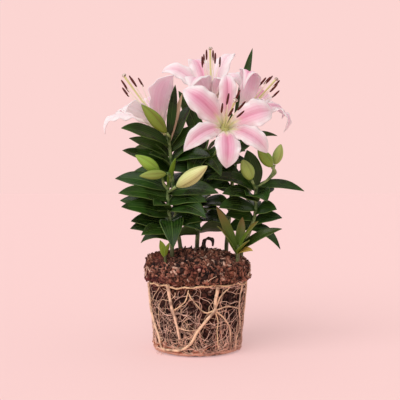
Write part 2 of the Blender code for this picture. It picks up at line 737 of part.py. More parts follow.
def anther(place, along, group):
    """A long grain, pointed at both ends."""
    grain = bmesh.new()
    bmesh.ops.create_uvsphere(grain, u_segments=4, v_segments=3, radius=1.0)
    shape = turned_to(along, place) @ Matrix.Diagonal((ANTHER_RADIUS, ANTHER_RADIUS, ANTHER_LENGTH / 2, 1.0))
    bmesh.ops.transform(grain, matrix=shape, verts=grain.verts)
    return object_of(grain, "anther", group)


def stamens(name, group, look):
    """Six stamens and the style on a plug that stands in the socket of the throat."""
    foot, axis = bloom_parts(name)
    lean = Vector(BLOOMS[name]["stamen_lean"])
    side = axis.orthogonal().normalized()
    low = foot + axis * (SOCKET_FLOOR + GAP)
    plug = plain_cone(low, axis, (PLUG_RADIUS, PLUG_RADIUS * 0.8), PLUG_LENGTH, 8, group)
    parts = []
    for number in range(6):
        out = Matrix.Rotation(number * math.pi / 3 + 0.4, 3, axis) @ side
        start = foot + axis * 0.009 + out * 0.0008
        reach = STAMEN_REACH - 0.005 * (number % 3)
        end = foot + axis * reach + out * (STAMEN_SPREAD + 0.003 * (number % 2)) + lean
        parts.append(spoke(start, end, (FILAMENT_RADIUS, FILAMENT_RADIUS), 3, group))
        along = (axis + (end - foot).normalized() * 0.4).normalized()
        parts.append(anther(end, along, group))
    end = foot + axis * STYLE_REACH + lean * 1.3
    parts.append(spoke(foot + axis * 0.008, end, (STYLE_RADIUS, STYLE_RADIUS), 4, group))
    parts.append(plain_cone(end - axis * 0.002, axis, (0.0016, STIGMA_RADIUS), 0.004, 6, group))
    return finish_node(boolean(plug, parts, "UNION"), "stamens_" + name, group, look)


# Buds


def bud(name, group, look):
    """A closed bud of three blunt ridges."""
    foot, tip, (thick, pointed) = Vector(BUDS[name][0]), Vector(BUDS[name][1]), BUDS[name][2:]
    length = (tip - foot).length
    shape = bmesh.new()
    bmesh.ops.create_uvsphere(shape, u_segments=6, v_segments=7, radius=1.0)
    turned = turned_to((tip - foot).normalized(), foot)
    for point in shape.verts:
        u = math.acos(max(-1.0, min(1.0, -point.co.z))) / math.pi
        angle = math.atan2(point.co.y, point.co.x)
        swell = max(math.sin(math.pi * u**0.86), 0.0) ** pointed
        radius = thick / 2 * swell * (1.0 + BUD_RIDGE * math.cos(3 * angle))
        point.co = turned @ Vector((radius * math.cos(angle), radius * math.sin(angle), length * u))
    return finish_node(object_of(shape, name, group), name, group, look)


# Stems and leaves


def seat_of(target):
    """The end point and direction of the stalk that carries a bloom or a bud."""
    if target in BLOOMS:
        foot, axis = bloom_parts(target)
        return foot - axis * (CUP_DROP + GAP), axis
    foot, tip = Vector(BUDS[target][0]), Vector(BUDS[target][1])
    axis = (tip - foot).normalized()
    return foot - axis * GAP, axis


def stem_line(name):
    data = STEMS[name]
    x, y, low = data["route"][0]
    root = soil_top(x, y) - HOLE_DEPTH + GAP
    return [Vector((x, y, root))] + smooth_route(data["route"], 2)


def stalk_line(target, points):
    end, axis = seat_of(target)
    inner = [Vector(p) for p in points]
    return smooth_route(inner + [end - axis * 0.0035], 2) + [end]


def stalk_samples(name):
    """Points every 2 mm or so along a stem and its stalks, each with its radius."""
    data = STEMS[name]
    lines = [(stem_line(name), data["radius"])]
    lines += [(stalk_line(target, points), STALK_RADIUS) for target, points in data["stalks"]]
    found = []
    for line, radius in lines:
        for a, b in zip(line, line[1:]):
            steps = max(1, round((b - a).length / 0.002))
            found += [(a.lerp(b, step / steps), radius) for step in range(steps)]
        found.append((line[-1], radius))
    return found


def height_point(line, height):
    """The point of a stem at this height."""
    for a, b in zip(line, line[1:]):
        if a.z <= height <= b.z:
            return a.lerp(b, (height - a.z) / (b.z - a.z))
    return line[-1] if height > line[-1].z else line[0]


def leaf_width(u):
    widest = 0.42
    if u < widest:
        rise = u / widest
        return 0.15 + 0.85 * rise * (2.0 - rise)
    return 1.0 - ((u - widest) / (1.0 - widest)) ** 1.9


def leaf_side(span):
    """The way across a leaf: level, then rolled so that the upper face looks outwards from the plant."""
    flat = Vector((span.x, span.y, 0.0))
    if flat.length > 0.45 * span.length:
        side = flat.cross(UP).normalized()
        outward = 1.0 if span.y < 0.35 * flat.length else -1.0
        side += UP * (LEAF_ROLL * side.y * outward)
    else:
        side = Vector((1.0, 0.25, 0.0))
    ahead = span.normalized()
    return (side - ahead * side.dot(ahead)).normalized()


def leaf_place(root, tip, width, arch):
    """Places a leaf's points: a folded blade that rises from its root and droops to its tip."""
    span = tip - root
    side = leaf_side(span)
    rise = UP * (arch + LEAF_RISE * span.length)
    line = (root, root + span * 0.30 + rise, root + span * 0.72 + rise * 0.9, tip)

    def place(u, v, shift=0.0):
        along = bezier_tangent(line, u)
        above = side.cross(along).normalized()
        half = width / 2 * leaf_width(u)
        return bezier(line, u) + side * (half * v) + above * (half * LEAF_FOLD * abs(v) + shift)

    return place


def bent(root, tip, turn, lift, share):
    """The tip turned about the upright through the root, lifted and drawn in."""
    span = Matrix.Rotation(math.radians(turn), 3, UP) @ (tip - root)
    flat = Vector((span.x, span.y, 0.0))
    if flat.length > 1e-4:
        span = Matrix.Rotation(math.radians(lift), 3, flat.cross(UP).normalized()) @ span
    return root + span * share


def wanted_leaves(name):
    """Root, tip, width and arch of each leaf of a stem, before any is bent clear."""
    data = STEMS[name]
    line = stem_line(name)
    shown = [
        (height_point(line, height), Vector(tip), width, arch) for height, tip, width, arch in data["leaves"]
    ]
    count, low, high, length, rise_low, rise_high, turn = data["spiral"]
    spiral = []
    for number in range(count):
        share = number / (count - 1)
        angle = turn + GOLDEN_TURN * number
        rise = math.radians(rise_low + (rise_high - rise_low) * share)
        reach = length * (1.0 - 0.25 * share * share) * (0.92 + 0.08 * math.sin(number * 2.4))
        ahead = Vector((math.cos(angle) * math.cos(rise), math.sin(angle) * math.cos(rise), math.sin(rise)))
        root = height_point(line, low + (high - low) * share)
        spiral.append((root, root + ahead * reach, 0.0275 - 0.004 * share, 0.004))
    return shown, spiral


def is_clear(place, name, obstacles, samples):
    tree = sheet_tree(place, LEAF_ROWS, 2)
    if any(tree.overlap(other) for owner, other in obstacles if owner != name):
        return None
    for owner, points in samples.items():
        if owner == name:
            continue
        for point, radius in points:
            if tree.find_nearest(point, radius + 0.0006)[0] is not None:
                return None
    return tree


def settle(name, leaf, obstacles, samples):
    """The first of the bends that leaves this leaf clear of all other pieces."""
    root, tip, width, arch = leaf
    for turn, lift, share in BENDS:
        place = leaf_place(root, bent(root, tip, turn, lift, share), width, arch)
        tree = is_clear(place, name, obstacles, samples)
        if tree is not None:
            obstacles.append((name, tree))
            return place
    return None


def settle_leaves(obstacles):
    """Every stem's leaves: those that show first, then the spirals."""
    samples = {name: stalk_samples(name) for name in STEMS}
    wanted = {name: wanted_leaves(name) for name in STEMS}
    settled = {name: [] for name in STEMS}
    for kind in (0, 1):
        for name in LEAFY_ORDER:
            for leaf in wanted[name][kind]:
                place = settle(name, leaf, obstacles, samples)
                if place is not None:
                    settled[name].append(place)
    return settled


def leafy_stem(name, places, group, look):
    data = STEMS[name]
    line = stem_line(name)
    radii = [data["radius"] * (1.0 - 0.22 * i / (len(line) - 1)) for i in range(len(line))]
    stem = tube(line, radii, 1, group)
    parts = []
    for target, points in data["stalks"]:
        stalk = stalk_line(target, points)
        parts.append(tube(stalk, [STALK_RADIUS] * len(stalk), 1, group))
    parts += [blade(place, LEAF_ROWS, LEAF_THICK, group) for place in places]
    return finish_node(boolean(stem, parts, "UNION"), name, group, look)


def rest_on(made, ground):
    """Lowers a mesh until it lies a gap above the ground."""
    drops = [ground.ray_cast(point.co, -UP)[3] for point in made.data.vertices]
    drop = min(found for found in drops if found is not None) - GAP
    for point in made.data.vertices:
        point.co.z -= drop


def dry_leaf(group, look, ground):
    """A dead leaf curled over on the soil behind the middle."""
    start = Vector((0.012, 0.006, MOUND_TOP + TOP_RELIEF))
    line = (start, start + Vector((-0.012, 0.0, 0.020)), start + Vector((0.016, -0.002, 0.022)),
            start + Vector((0.011, -0.002, 0.004)))

    def place(u, v, shift=0.0):
        half = 0.0052 * math.sin(math.pi * (0.12 + 0.88 * u))
        across = Vector((0.15, 0.98, 0.1)).normalized()
        above = across.cross(bezier_tangent(line, u)).normalized()
        return bezier(line, u) + across * (half * v) + above * shift

    made = blade(place, (0.0, 0.25, 0.45, 0.65, 0.85, 1.0), PETAL_THICK, group)
    rest_on(made, ground)
    return finish_node(made, "dry_leaf", group, look)


def tree_of(made):
    """Search tree of a finished node."""
    return BVHTree.FromPolygons([made.matrix_world @ v.co for v in made.data.vertices],
                                [tuple(face.vertices) for face in made.data.polygons])


def build():
    clear_scene()
    group = new_collection("oriental_lily")
    soil_look = material("soil", (0.075, 0.034, 0.024), 0.95)
    root_look = material("root", (0.62, 0.40, 0.26), 0.7)
    leaf_look = material("leaf", (0.030, 0.066, 0.018), 0.35)
    shoot_look = material("shoot", (0.090, 0.150, 0.020), 0.4)
    dry_look = material("dry", (0.020, 0.016, 0.012), 0.8)
    petal_look = material("petal", (0.80, 0.40, 0.50), 0.45)
    stamen_look = material("stamen", (0.20, 0.035, 0.020), 0.7)
    bud_look = material("bud", (0.33, 0.36, 0.07), 0.4)

    holes = [stem_hole(data["route"][0], data["radius"], group) for data in STEMS.values()]
    soil = soil_ball(group, soil_look, holes)
    root_net(group, root_look)
    solids = [soil, dry_leaf(group, dry_look, tree_of(soil))]
    for name in BLOOMS:
        solids.append(bloom(name, group, petal_look))
        solids.append(stamens(name, group, stamen_look))
    solids += [bud(name, group, bud_look) for name in BUDS]
    obstacles = [(solid.name, tree_of(solid)) for solid in solids]
    settled = settle_leaves(obstacles)
    for name in STEMS:
        look = shoot_look if name.startswith("shoot") else leaf_look
        leafy_stem(name, settled[name], group, look)


build()
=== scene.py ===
# Oriental lily on its own root ball, dressed with petals, leaves, roots and bark.
import math
import random

import bmesh
import bpy
from mathutils import Matrix, Vector, noise
from mathutils.bvhtree import BVHTree


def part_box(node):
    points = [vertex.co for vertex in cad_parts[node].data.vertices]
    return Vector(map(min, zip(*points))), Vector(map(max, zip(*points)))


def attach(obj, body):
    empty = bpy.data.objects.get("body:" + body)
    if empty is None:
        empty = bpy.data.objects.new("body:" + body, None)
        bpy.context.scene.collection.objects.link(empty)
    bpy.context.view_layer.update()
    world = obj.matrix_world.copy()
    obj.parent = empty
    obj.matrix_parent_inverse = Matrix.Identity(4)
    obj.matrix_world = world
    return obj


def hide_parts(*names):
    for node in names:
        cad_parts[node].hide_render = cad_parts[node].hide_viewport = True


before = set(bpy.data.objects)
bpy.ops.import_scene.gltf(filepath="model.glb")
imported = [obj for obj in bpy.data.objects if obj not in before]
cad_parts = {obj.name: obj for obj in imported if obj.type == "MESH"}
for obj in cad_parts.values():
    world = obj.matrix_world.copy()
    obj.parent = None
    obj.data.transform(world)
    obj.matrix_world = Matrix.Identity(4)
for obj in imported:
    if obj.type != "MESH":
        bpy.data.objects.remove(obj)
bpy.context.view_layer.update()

up = Vector((0.0, 0.0, 1.0))
goldenTurn = math.radians(137.5)


# Camera, light and floor

view = {
    "eye": (0.0036, -1.05, 0.244),
    "lens": 63.0,
    "sensor": 36.0,
    "nearest": 0.02,
    "tiltDown": 1.2,        # degrees below the level line
}
studio = {
    "floorColour": (252, 213, 211),
    "floorGlow": 0.45,      # the share of the floor's light that is its own, which keeps the shadow pale
    "floorSize": 40.0,
    "floorDrop": 0.0002,    # below the foot of the ball
    "backColour": (252, 213, 210),
    "skyColour": (255, 246, 244),
    "skyStrength": 0.62,
    "sunStrength": 1.80,
    "sunSoftness": 55.0,    # degrees across
    "sunFrom": (-0.75, -0.95, 1.15),
}


def colour(red, green, blue):
    # display values 0 to 255 as the linear colour that a socket takes
    linear = []
    for value in (red, green, blue):
        share = value / 255.0
        linear.append(share / 12.92 if share <= 0.04045 else ((share + 0.055) / 1.055) ** 2.4)
    return (*linear, 1.0)


def addObject(name, data):
    made = bpy.data.objects.new(name, data)
    bpy.context.scene.collection.objects.link(made)
    return made


def setCamera():
    data = bpy.data.cameras.new("photoCamera")
    data.lens, data.sensor_width, data.clip_start = view["lens"], view["sensor"], view["nearest"]
    camera = addObject("photoCamera", data)
    camera.location = view["eye"]
    camera.rotation_euler = (math.radians(90.0 - view["tiltDown"]), 0.0, 0.0)
    bpy.context.scene.camera = camera


def setStudio():
    data = bpy.data.lights.new("softKey", "SUN")
    data.energy, data.angle = studio["sunStrength"], math.radians(studio["sunSoftness"])
    lamp = addObject("softKey", data)
    lamp.rotation_euler = Vector(studio["sunFrom"]).to_track_quat("Z", "Y").to_euler()
    world = bpy.data.worlds.new("studio")
    world.use_nodes = True
    tree = world.node_tree
    sky = tree.nodes["Background"]
    sky.inputs["Color"].default_value = colour(*studio["skyColour"])
    sky.inputs["Strength"].default_value = studio["skyStrength"]
    back = addNode(tree, "ShaderNodeBackground", {"Color": colour(*studio["backColour"])})
    seen = addNode(tree, "ShaderNodeLightPath").outputs["Is Camera Ray"]
    both = addNode(tree, "ShaderNodeMixShader", {0: seen, 1: sky.outputs[0], 2: back.outputs[0]})
    tree.links.new(both.outputs[0], tree.nodes["World Output"].inputs["Surface"])
    bpy.context.scene.world = world
    bpy.context.scene.view_settings.view_transform = "Standard"
    bpy.ops.mesh.primitive_plane_add(size=studio["floorSize"], location=(0.0, 0.0, -studio["floorDrop"]))
    floor = bpy.context.object
    floor.name = "floor"
    pale, glow = colour(*studio["floorColour"]), studio["floorGlow"]
    paint = newMaterial(
        "floorPaint", Base_Color=(*[value * (1.0 - glow) for value in pale[:3]], 1.0), Emission_Color=pale,
        Emission_Strength=glow, Roughness=0.9, Specular_IOR_Level=0.1,
    )[0]
    floor.data.materials.append(paint)


# Node helpers

def addNode(tree, kind, inputs=None, **settings):
    # a node with its settings, and its inputs set to values or joined to other nodes' outputs
    node = tree.nodes.new(kind)
    for key, value in settings.items():
        setattr(node, key, value)
    for key, value in (inputs or {}).items():
        socket = node.inputs[key]
        if isinstance(value, bpy.types.NodeSocket):
            tree.links.new(value, socket)
        else:
            socket.default_value = value
    return node


def maths(tree, operation, first, second=0.0):
    return addNode(tree, "ShaderNodeMath", {0: first, 1: second}, operation=operation).outputs[0]


def times(tree, product, *others):
    for other in others:
        product = maths(tree, "MULTIPLY", product, other)
    return product


def ramped(tree, value, low, high, start=0.0, end=1.0):
    # start below low, end above high, and a smooth step between
    step = addNode(
        tree, "ShaderNodeMapRange",
        {"Value": value, "From Min": low, "From Max": high, "To Min": start, "To Max": end},
        interpolation_type="SMOOTHSTEP",
    )
    return step.outputs["Result"]


def fading(tree, value, low, high, start=1.0):
    return ramped(tree, value, low, high, start, 0.0)


def blended(tree, factor, first, second):
    mix = addNode(tree, "ShaderNodeMix", {0: factor, 6: first, 7: second}, data_type="RGBA")
    return mix.outputs[2]


def newGroup(name, inputs, outputs):
    group = bpy.data.node_groups.new(name, "ShaderNodeTree")
    for label, value in inputs.items():
        socket = group.interface.new_socket(label, in_out="INPUT", socket_type="NodeSocketFloat")
        socket.default_value = value
    for label in outputs:
        group.interface.new_socket(label, in_out="OUTPUT", socket_type="NodeSocketFloat")
    return group, addNode(group, "NodeGroupInput").outputs, addNode(group, "NodeGroupOutput")


def objectPlace(tree):
    return addNode(tree, "ShaderNodeTexCoord").outputs["Object"]


def cloud(tree, place, scale, detail):
    return addNode(tree, "ShaderNodeTexNoise", {"Vector": place, "Scale": scale, "Detail": detail}).outputs


def buildMottle():
    # soft patches of Object space, as a mask
    group, given, result = newGroup("mottle", {"Scale": 40.0, "Low": 0.35, "High": 0.65}, ("Mask",))
    value = cloud(group, objectPlace(group), given["Scale"], 4.0)["Fac"]
    group.links.new(ramped(group, value, given["Low"], given["High"]), result.inputs["Mask"])
    return group


def buildLengthVeins():
    # veins that run from root to tip of a sheet and close in at its tip, with the midrib apart
    group, given, result = newGroup(
        "lengthVeins", {"Count": 12.0, "Midrib Width": 0.10}, ("Lines", "Midrib", "Along", "Across")
    )
    spread = addNode(group, "ShaderNodeSeparateXYZ", {0: addNode(group, "ShaderNodeUVMap").outputs["UV"]})
    side = maths(group, "SUBTRACT", times(group, spread.outputs["X"], 2.0), 1.0)
    across = maths(group, "ABSOLUTE", side)
    wave = maths(group, "COSINE", times(group, side, given["Count"], math.pi))
    group.links.new(ramped(group, wave, 0.2, 1.0), result.inputs["Lines"])
    group.links.new(fading(group, across, 0.0, given["Midrib Width"]), result.inputs["Midrib"])
    group.links.new(spread.outputs["Y"], result.inputs["Along"])
    group.links.new(across, result.inputs["Across"])
    return group


mottle = buildMottle()
lengthVeins = buildLengthVeins()


def newMaterial(name, **values):
    # a Principled material, with the values that are the same all over set on its own sockets
    material = bpy.data.materials.new(name)
    material.use_nodes = True
    shader = material.node_tree.nodes["Principled BSDF"]
    for label, value in values.items():
        shader.inputs[label.replace("_", " ")].default_value = value
    return material, material.node_tree


def placed(tree, group, **values):
    node = addNode(tree, "ShaderNodeGroup", node_tree=group)
    for label, value in values.items():
        node.inputs[label.replace("_", " ")].default_value = value
    return node.outputs


def patches(tree, scale, low=0.35, high=0.65):
    return placed(tree, mottle, Scale=scale, Low=low, High=high)["Mask"]


def attribute(tree, name):
    return addNode(tree, "ShaderNodeAttribute", attribute_name=name).outputs["Fac"]


def heightAbove(tree):
    return addNode(tree, "ShaderNodeSeparateXYZ", {0: objectPlace(tree)}).outputs["Z"]


def layered(tree, paint, base, *layers):
    # lays a colour of the paint over the base for each name, mask and share
    for name, mask, share in layers:
        factor = mask if share == 1.0 else times(tree, mask, share)
        base = blended(tree, factor, base, paint[name])
    return base


def finished(material, base, mask, rough, height=None, relief=None):
    # the material, given its colour, a roughness that follows a mask, and a relief by depth and strength
    tree = material.node_tree
    shader = tree.nodes["Principled BSDF"]
    tree.links.new(base, shader.inputs["Base Color"])
    tree.links.new(ramped(tree, mask, 0.0, 1.0, *rough), shader.inputs["Roughness"])
    if height is not None:
        depth, strength = relief
        bump = addNode(tree, "ShaderNodeBump", {"Height": height, "Distance": depth, "Strength": strength})
        tree.links.new(bump.outputs["Normal"], shader.inputs["Normal"])
    return material


def paints(table):
    return {name: colour(*value) for name, value in table.items()}


# Finishes

petalPaint = {
    "white": (252, 240, 243),
    "pink": (240, 162, 192),
    "deep": (220, 116, 152),
    # nectar, glow and deepThroat are the throat's own cream and green, painted lighter to offset the shade of
    # the deep cup: partly painted light
    "nectar": (246, 246, 172),
    "glow": (250, 248, 214),
    "deepThroat": (184, 202, 108),
    "outside": (253, 234, 244),
    "outsideRib": (230, 150, 180),
    "keel": (214, 216, 160),
}
petalFinish = {
    "veins": 9.0,
    "midrib": 0.12,
    "patches": 55.0,
    "innerDepth": 0.38,     # share of the light that goes into the petal and comes out elsewhere
    "outerDepth": 0.70,
    "lightReach": (0.012, 0.008, 0.009),
    "sheen": 0.10,
    "rough": (0.44, 0.60),
    "relief": (0.0004, 0.5),
}
leafPaint = {
    "dark": (11, 26, 6),
    "mid": (36, 74, 16),
    # the vein colour is also laid along the leaf edges as a painted highlight
    "vein": (104, 134, 60),
    "bronze": (128, 88, 52),
    "young": (122, 160, 44),
    "yellow": (222, 184, 96),
    "beige": (232, 206, 176),
    "under": (58, 80, 34),
}
leafFinish = {
    "veins": 8.0,
    "midrib": 0.07,
    "patches": 34.0,
    "pores": 260.0,
    "rough": (0.26, 0.40),
    "underRough": (0.50, 0.62),
    "relief": (0.0005, 0.6),
}
stemPaint = {"green": (80, 110, 50), "pale": (150, 172, 106), "brown": (66, 48, 28)}
stemFinish = {
    "patches": 120.0,
    "pores": 500.0,
    "brownFoot": (0.140, 0.185),    # the heights between which a stem's brown foot turns green
    "rough": (0.38, 0.55),
    "relief": (0.0003, 0.5),
}
budPaint = {"green": (106, 154, 10), "yellow": (226, 228, 166), "seam": (104, 78, 26), "tip": (182, 208, 74)}
budFinish = {"streaks": 22.0, "patches": 70.0, "rough": (0.34, 0.50), "relief": (0.0003, 0.4)}
stamenPaint = {
    "filament": (228, 236, 176),
    "filamentTop": (250, 240, 224),
    "anther": (62, 15, 11),
    "pollen": (112, 38, 22),
    "style": (222, 222, 152),
    "stigma": (122, 92, 82),
}
strandFinish = {
    "patches": 300.0,
    "turn": (0.2, 0.9),     # the shares of its length between which a strand changes colour
    "spread": 0.08,         # of the roughness, to each side
}
powderFinish = {"rough": (0.62, 0.92), "relief": (0.0003, 0.8)}
soilPaint = {
    # gap: near black, the painted shade in the crevices between the bark chunks
    "gap": (7, 3, 3),
    "peat": (40, 22, 18),
    "bark": (186, 122, 98),
    "chip": (236, 198, 174),
    "red": (108, 24, 36),
    "rust": (158, 92, 62),
    # wall: the wine red below the band, partly the peat's own colour and partly painted shade under the band
    # and between the roots
    "wall": (38, 12, 13),
}
soilFinish = {
    "redPatches": 26.0,
    "rustPatches": 19.0,
    "grain": 420.0,
    "wallTop": (0.085, 0.106),      # the heights between which the dark wall, partly painted shade, turns into the brown band
    "rough": (0.72, 0.97),
    "relief": (0.0006, 0.8),
}
rootPaint = {"cream": (240, 204, 160), "tan": (240, 198, 176), "brown": (174, 94, 60), "soil": (74, 36, 32)}
rootFinish = {"stains": 90.0, "pores": 600.0, "rough": (0.52, 0.85), "relief": (0.0003, 0.6)}
dryPaint = {"dark": (26, 20, 16), "light": (84, 64, 46)}


def petalMaterial(name, inside):
    finish, paint = petalFinish, paints(petalPaint)
    material, tree = newMaterial(
        name, Subsurface_Weight=finish["innerDepth" if inside else "outerDepth"],
        Subsurface_Radius=finish["lightReach"], Subsurface_Scale=1.0, Sheen_Weight=finish["sheen"],
    )
    veins = placed(tree, lengthVeins, Count=finish["veins"], Midrib_Width=finish["midrib"])
    along, across, lines = veins["Along"], veins["Across"], veins["Lines"]
    patch, tone = patches(tree, finish["patches"]), attribute(tree, "tone")
    # pink fills the middle of the petal and leaves its edge and its throat white
    middle = fading(tree, across, 0.24, 0.92)
    length = times(tree, ramped(tree, along, 0.20, 0.46), ramped(tree, along, 0.70, 1.0, 1.0, 0.15))
    pink = times(tree, middle, length, tone)
    if inside:
        stripe = times(tree, fading(tree, across, 0.0, 0.26), pink)
        furrow = times(tree, fading(tree, across, 0.03, 0.27), fading(tree, along, 0.18, 0.46))
        base = layered(
            tree, paint, paint["white"],
            ("pink", pink, 1.0),
            ("deep", stripe, 0.70),
            ("deep", times(tree, lines, pink), 0.35),
            # the throat is painted lighter than its own colour, to offset the shade of the deep cup
            ("glow", fading(tree, along, 0.14, 0.40), 1.0),
            ("nectar", furrow, 1.0),
        )
    else:
        base = layered(
            tree, paint, paint["white"],
            ("outside", middle, 0.80),
            ("outsideRib", tone, 0.55),
            ("outsideRib", pink, 0.70),
            ("outsideRib", times(tree, lines, middle, tone), 0.55),
            ("keel", fading(tree, along, 0.06, 0.36), 0.42),
        )
    base = layered(
        tree, paint, base,
        ("white", patch, 0.10),
        # the green at the foot of the throat is also painted lighter against the cup's shade
        ("deepThroat", fading(tree, along, 0.02, 0.09), 0.70),
    )
    ribs = maths(tree, "ADD", times(tree, lines, 0.5), times(tree, patch, 0.5))
    return finished(material, base, patch, finish["rough"], ribs, finish["relief"])


def leafMaterial(name, upper):
    finish, paint = leafFinish, paints(leafPaint)
    material, tree = newMaterial(name, Specular_IOR_Level=0.26)
    veins = placed(tree, lengthVeins, Count=finish["veins"], Midrib_Width=finish["midrib"])
    patch, pores = patches(tree, finish["patches"]), patches(tree, finish["pores"], 0.4, 0.6)
    tone = attribute(tree, "tone")
    # young leaves turn bronze towards the tip
    bronze = times(tree, ramped(tree, tone, 0.11, 0.20), fading(tree, tone, 0.40, 0.52),
                   ramped(tree, veins["Along"], 0.30, 0.95, 0.10, 0.75))
    base = layered(
        tree, paint, paint["dark" if upper else "under"],
        ("mid", patch, 0.8 if upper else 0.5),
        ("young", ramped(tree, tone, 0.0, 0.6), 1.0),
        ("yellow", ramped(tree, tone, 0.7, 1.0), 1.0),
        ("beige", ramped(tree, tone, 1.0, 1.2), 1.0),
        ("bronze", bronze, 1.0),
        ("vein", veins["Lines"], 0.14),
        ("vein", veins["Midrib"], 0.35),
        # a painted highlight along the edges, in the vein colour
        ("vein", ramped(tree, veins["Across"], 0.91, 1.0), 0.65),
    )
    ribs = maths(tree, "SUBTRACT", times(tree, pores, 0.15), times(tree, veins["Lines"], 0.6))
    rough = finish["rough" if upper else "underRough"]
    return finished(material, base, patch, rough, ribs, finish["relief"])


def stemMaterial():
    finish, paint = stemFinish, paints(stemPaint)
    material, tree = newMaterial("stemSkin")
    patch = patches(tree, finish["patches"])
    base = layered(
        tree, paint, paint["green"],
        ("pale", patch, 1.0),
        ("brown", fading(tree, heightAbove(tree), *finish["brownFoot"]), 0.7),
    )
    pores = patches(tree, finish["pores"])
    return finished(material, base, patch, finish["rough"], pores, finish["relief"])


def budMaterial():
    finish, paint = budFinish, paints(budPaint)
    material, tree = newMaterial("budSkin", Specular_IOR_Level=0.32)
    patch = patches(tree, finish["patches"])
    streak = placed(tree, lengthVeins, Count=finish["streaks"])["Lines"]
    brown = times(tree, maths(tree, "ADD", times(tree, streak, 0.55), 0.62), attribute(tree, "groove"))
    base = layered(
        tree, paint, paint["green"],
        ("yellow", attribute(tree, "tone"), 1.0),
        ("tip", streak, 0.26),
        ("tip", patch, 0.12),
        ("seam", brown, 1.0),
    )
    return finished(material, base, patch, finish["rough"], streak, finish["relief"])


def strandMaterial(name, first, last, roughness):
    # one colour at the foot of a strand and another at its end
    finish, paint = strandFinish, paints({"first": first, "last": last})
    material, tree = newMaterial(name)
    patch = patches(tree, finish["patches"])
    base = layered(
        tree, paint, paint["first"],
        ("last", ramped(tree, attribute(tree, "along"), *finish["turn"]), 1.0),
        ("last", patch, 0.25),
    )
    return finished(material, base, patch, (roughness - finish["spread"], roughness + finish["spread"]))


def powderMaterial(name, dark, light, scale):
    material, tree = newMaterial(name)
    grain = patches(tree, scale, 0.42, 0.60)
    base = blended(tree, grain, colour(*dark), colour(*light))
    return finished(material, base, grain, powderFinish["rough"], grain, powderFinish["relief"])


def soilMaterial():
    finish, paint = soilFinish, paints(soilPaint)
    material, tree = newMaterial("peatAndBark", Specular_IOR_Level=0.3)
    tone, grain = attribute(tree, "tone"), patches(tree, finish["grain"], 0.36, 0.66)
    base = layered(
        tree, paint, paint["peat"],
        ("bark", ramped(tree, tone, 0.18, 0.80), 1.0),
        ("red", patches(tree, finish["redPatches"], 0.50, 0.66), 0.75),
        ("rust", patches(tree, finish["rustPatches"], 0.48, 0.66), 0.45),
        ("chip", ramped(tree, tone, 0.82, 0.97), 1.0),
        ("peat", grain, 0.50),
        # below the band the soil darkens to the wall colour, partly its own peat and partly painted shade
        ("wall", fading(tree, heightAbove(tree), *finish["wallTop"]), 0.80),
        # the crevices between the chunks take a painted shade, near black
        ("gap", attribute(tree, "gap"), 1.0),
    )
    return finished(material, base, grain, finish["rough"], grain, finish["relief"])


def rootMaterial():
    finish, paint = rootFinish, paints(rootPaint)
    material, tree = newMaterial("rootSkin")
    tone, stain = attribute(tree, "tone"), patches(tree, finish["stains"], 0.45, 0.72)
    base = layered(
        tree, paint, paint["cream"],
        ("tan", ramped(tree, tone, 0.0, 0.5), 1.0),
        ("brown", ramped(tree, tone, 0.5, 0.95), 1.0),
        ("soil", stain, 0.68),
    )
    pores = patches(tree, finish["pores"])
    return finished(material, base, stain, finish["rough"], pores, finish["relief"])


# Geometry Nodes: strands along paths, and bits scattered on a surface

def newTree(name, inputs):
    tree = bpy.data.node_groups.new(name, "GeometryNodeTree")
    tree.interface.new_socket("Geometry", in_out="INPUT", socket_type="NodeSocketGeometry")
    for label, (kind, value) in inputs.items():
        socket = tree.interface.new_socket(label, in_out="INPUT", socket_type="NodeSocket" + kind)
        if value is not None:
            socket.default_value = value
    tree.interface.new_socket("Geometry", in_out="OUTPUT", socket_type="NodeSocketGeometry")
    return tree, addNode(tree, "NodeGroupInput").outputs


def endTree(tree, geometry, material):
    solid = addNode(tree, "GeometryNodeRealizeInstances", {"Geometry": geometry}).outputs["Geometry"]
    dressed = addNode(tree, "GeometryNodeSetMaterial", {"Geometry": solid, "Material": material})
    addNode(tree, "NodeGroupOutput", {"Geometry": dressed.outputs["Geometry"]})
    return tree


def stored(tree, geometry, name, value, domain):
    node = addNode(
        tree, "GeometryNodeStoreNamedAttribute", {"Geometry": geometry, "Name": name, "Value": value},
        data_type="FLOAT", domain=domain,
    )
    return node.outputs["Geometry"]


def drawn(tree, low, high, seed):
    # a random number for each element
    dice = addNode(tree, "FunctionNodeRandomValue", {2: low, 3: high, "Seed": seed}, data_type="FLOAT")
    return dice.outputs[1]


def named(tree, name, kind):
    return addNode(tree, "GeometryNodeInputNamedAttribute", {"Name": name}, data_type=kind).outputs[0]


def vector(tree, x, y, z):
    return addNode(tree, "ShaderNodeCombineXYZ", {"X": x, "Y": y, "Z": z}).outputs[0]


def shaken(tree, geometry, place, scale, detail, reach):
    # moves each point by a noise of its place
    drift = cloud(tree, place, scale, detail)["Color"]
    centred = addNode(tree, "ShaderNodeVectorMath", {0: drift, 1: (0.5, 0.5, 0.5)}, operation="SUBTRACT")
    offset = addNode(tree, "ShaderNodeVectorMath", {0: centred.outputs[0], "Scale": reach}, operation="SCALE")
    moved = addNode(tree, "GeometryNodeSetPosition", {"Geometry": geometry, "Offset": offset.outputs[0]})
    return moved.outputs[0]


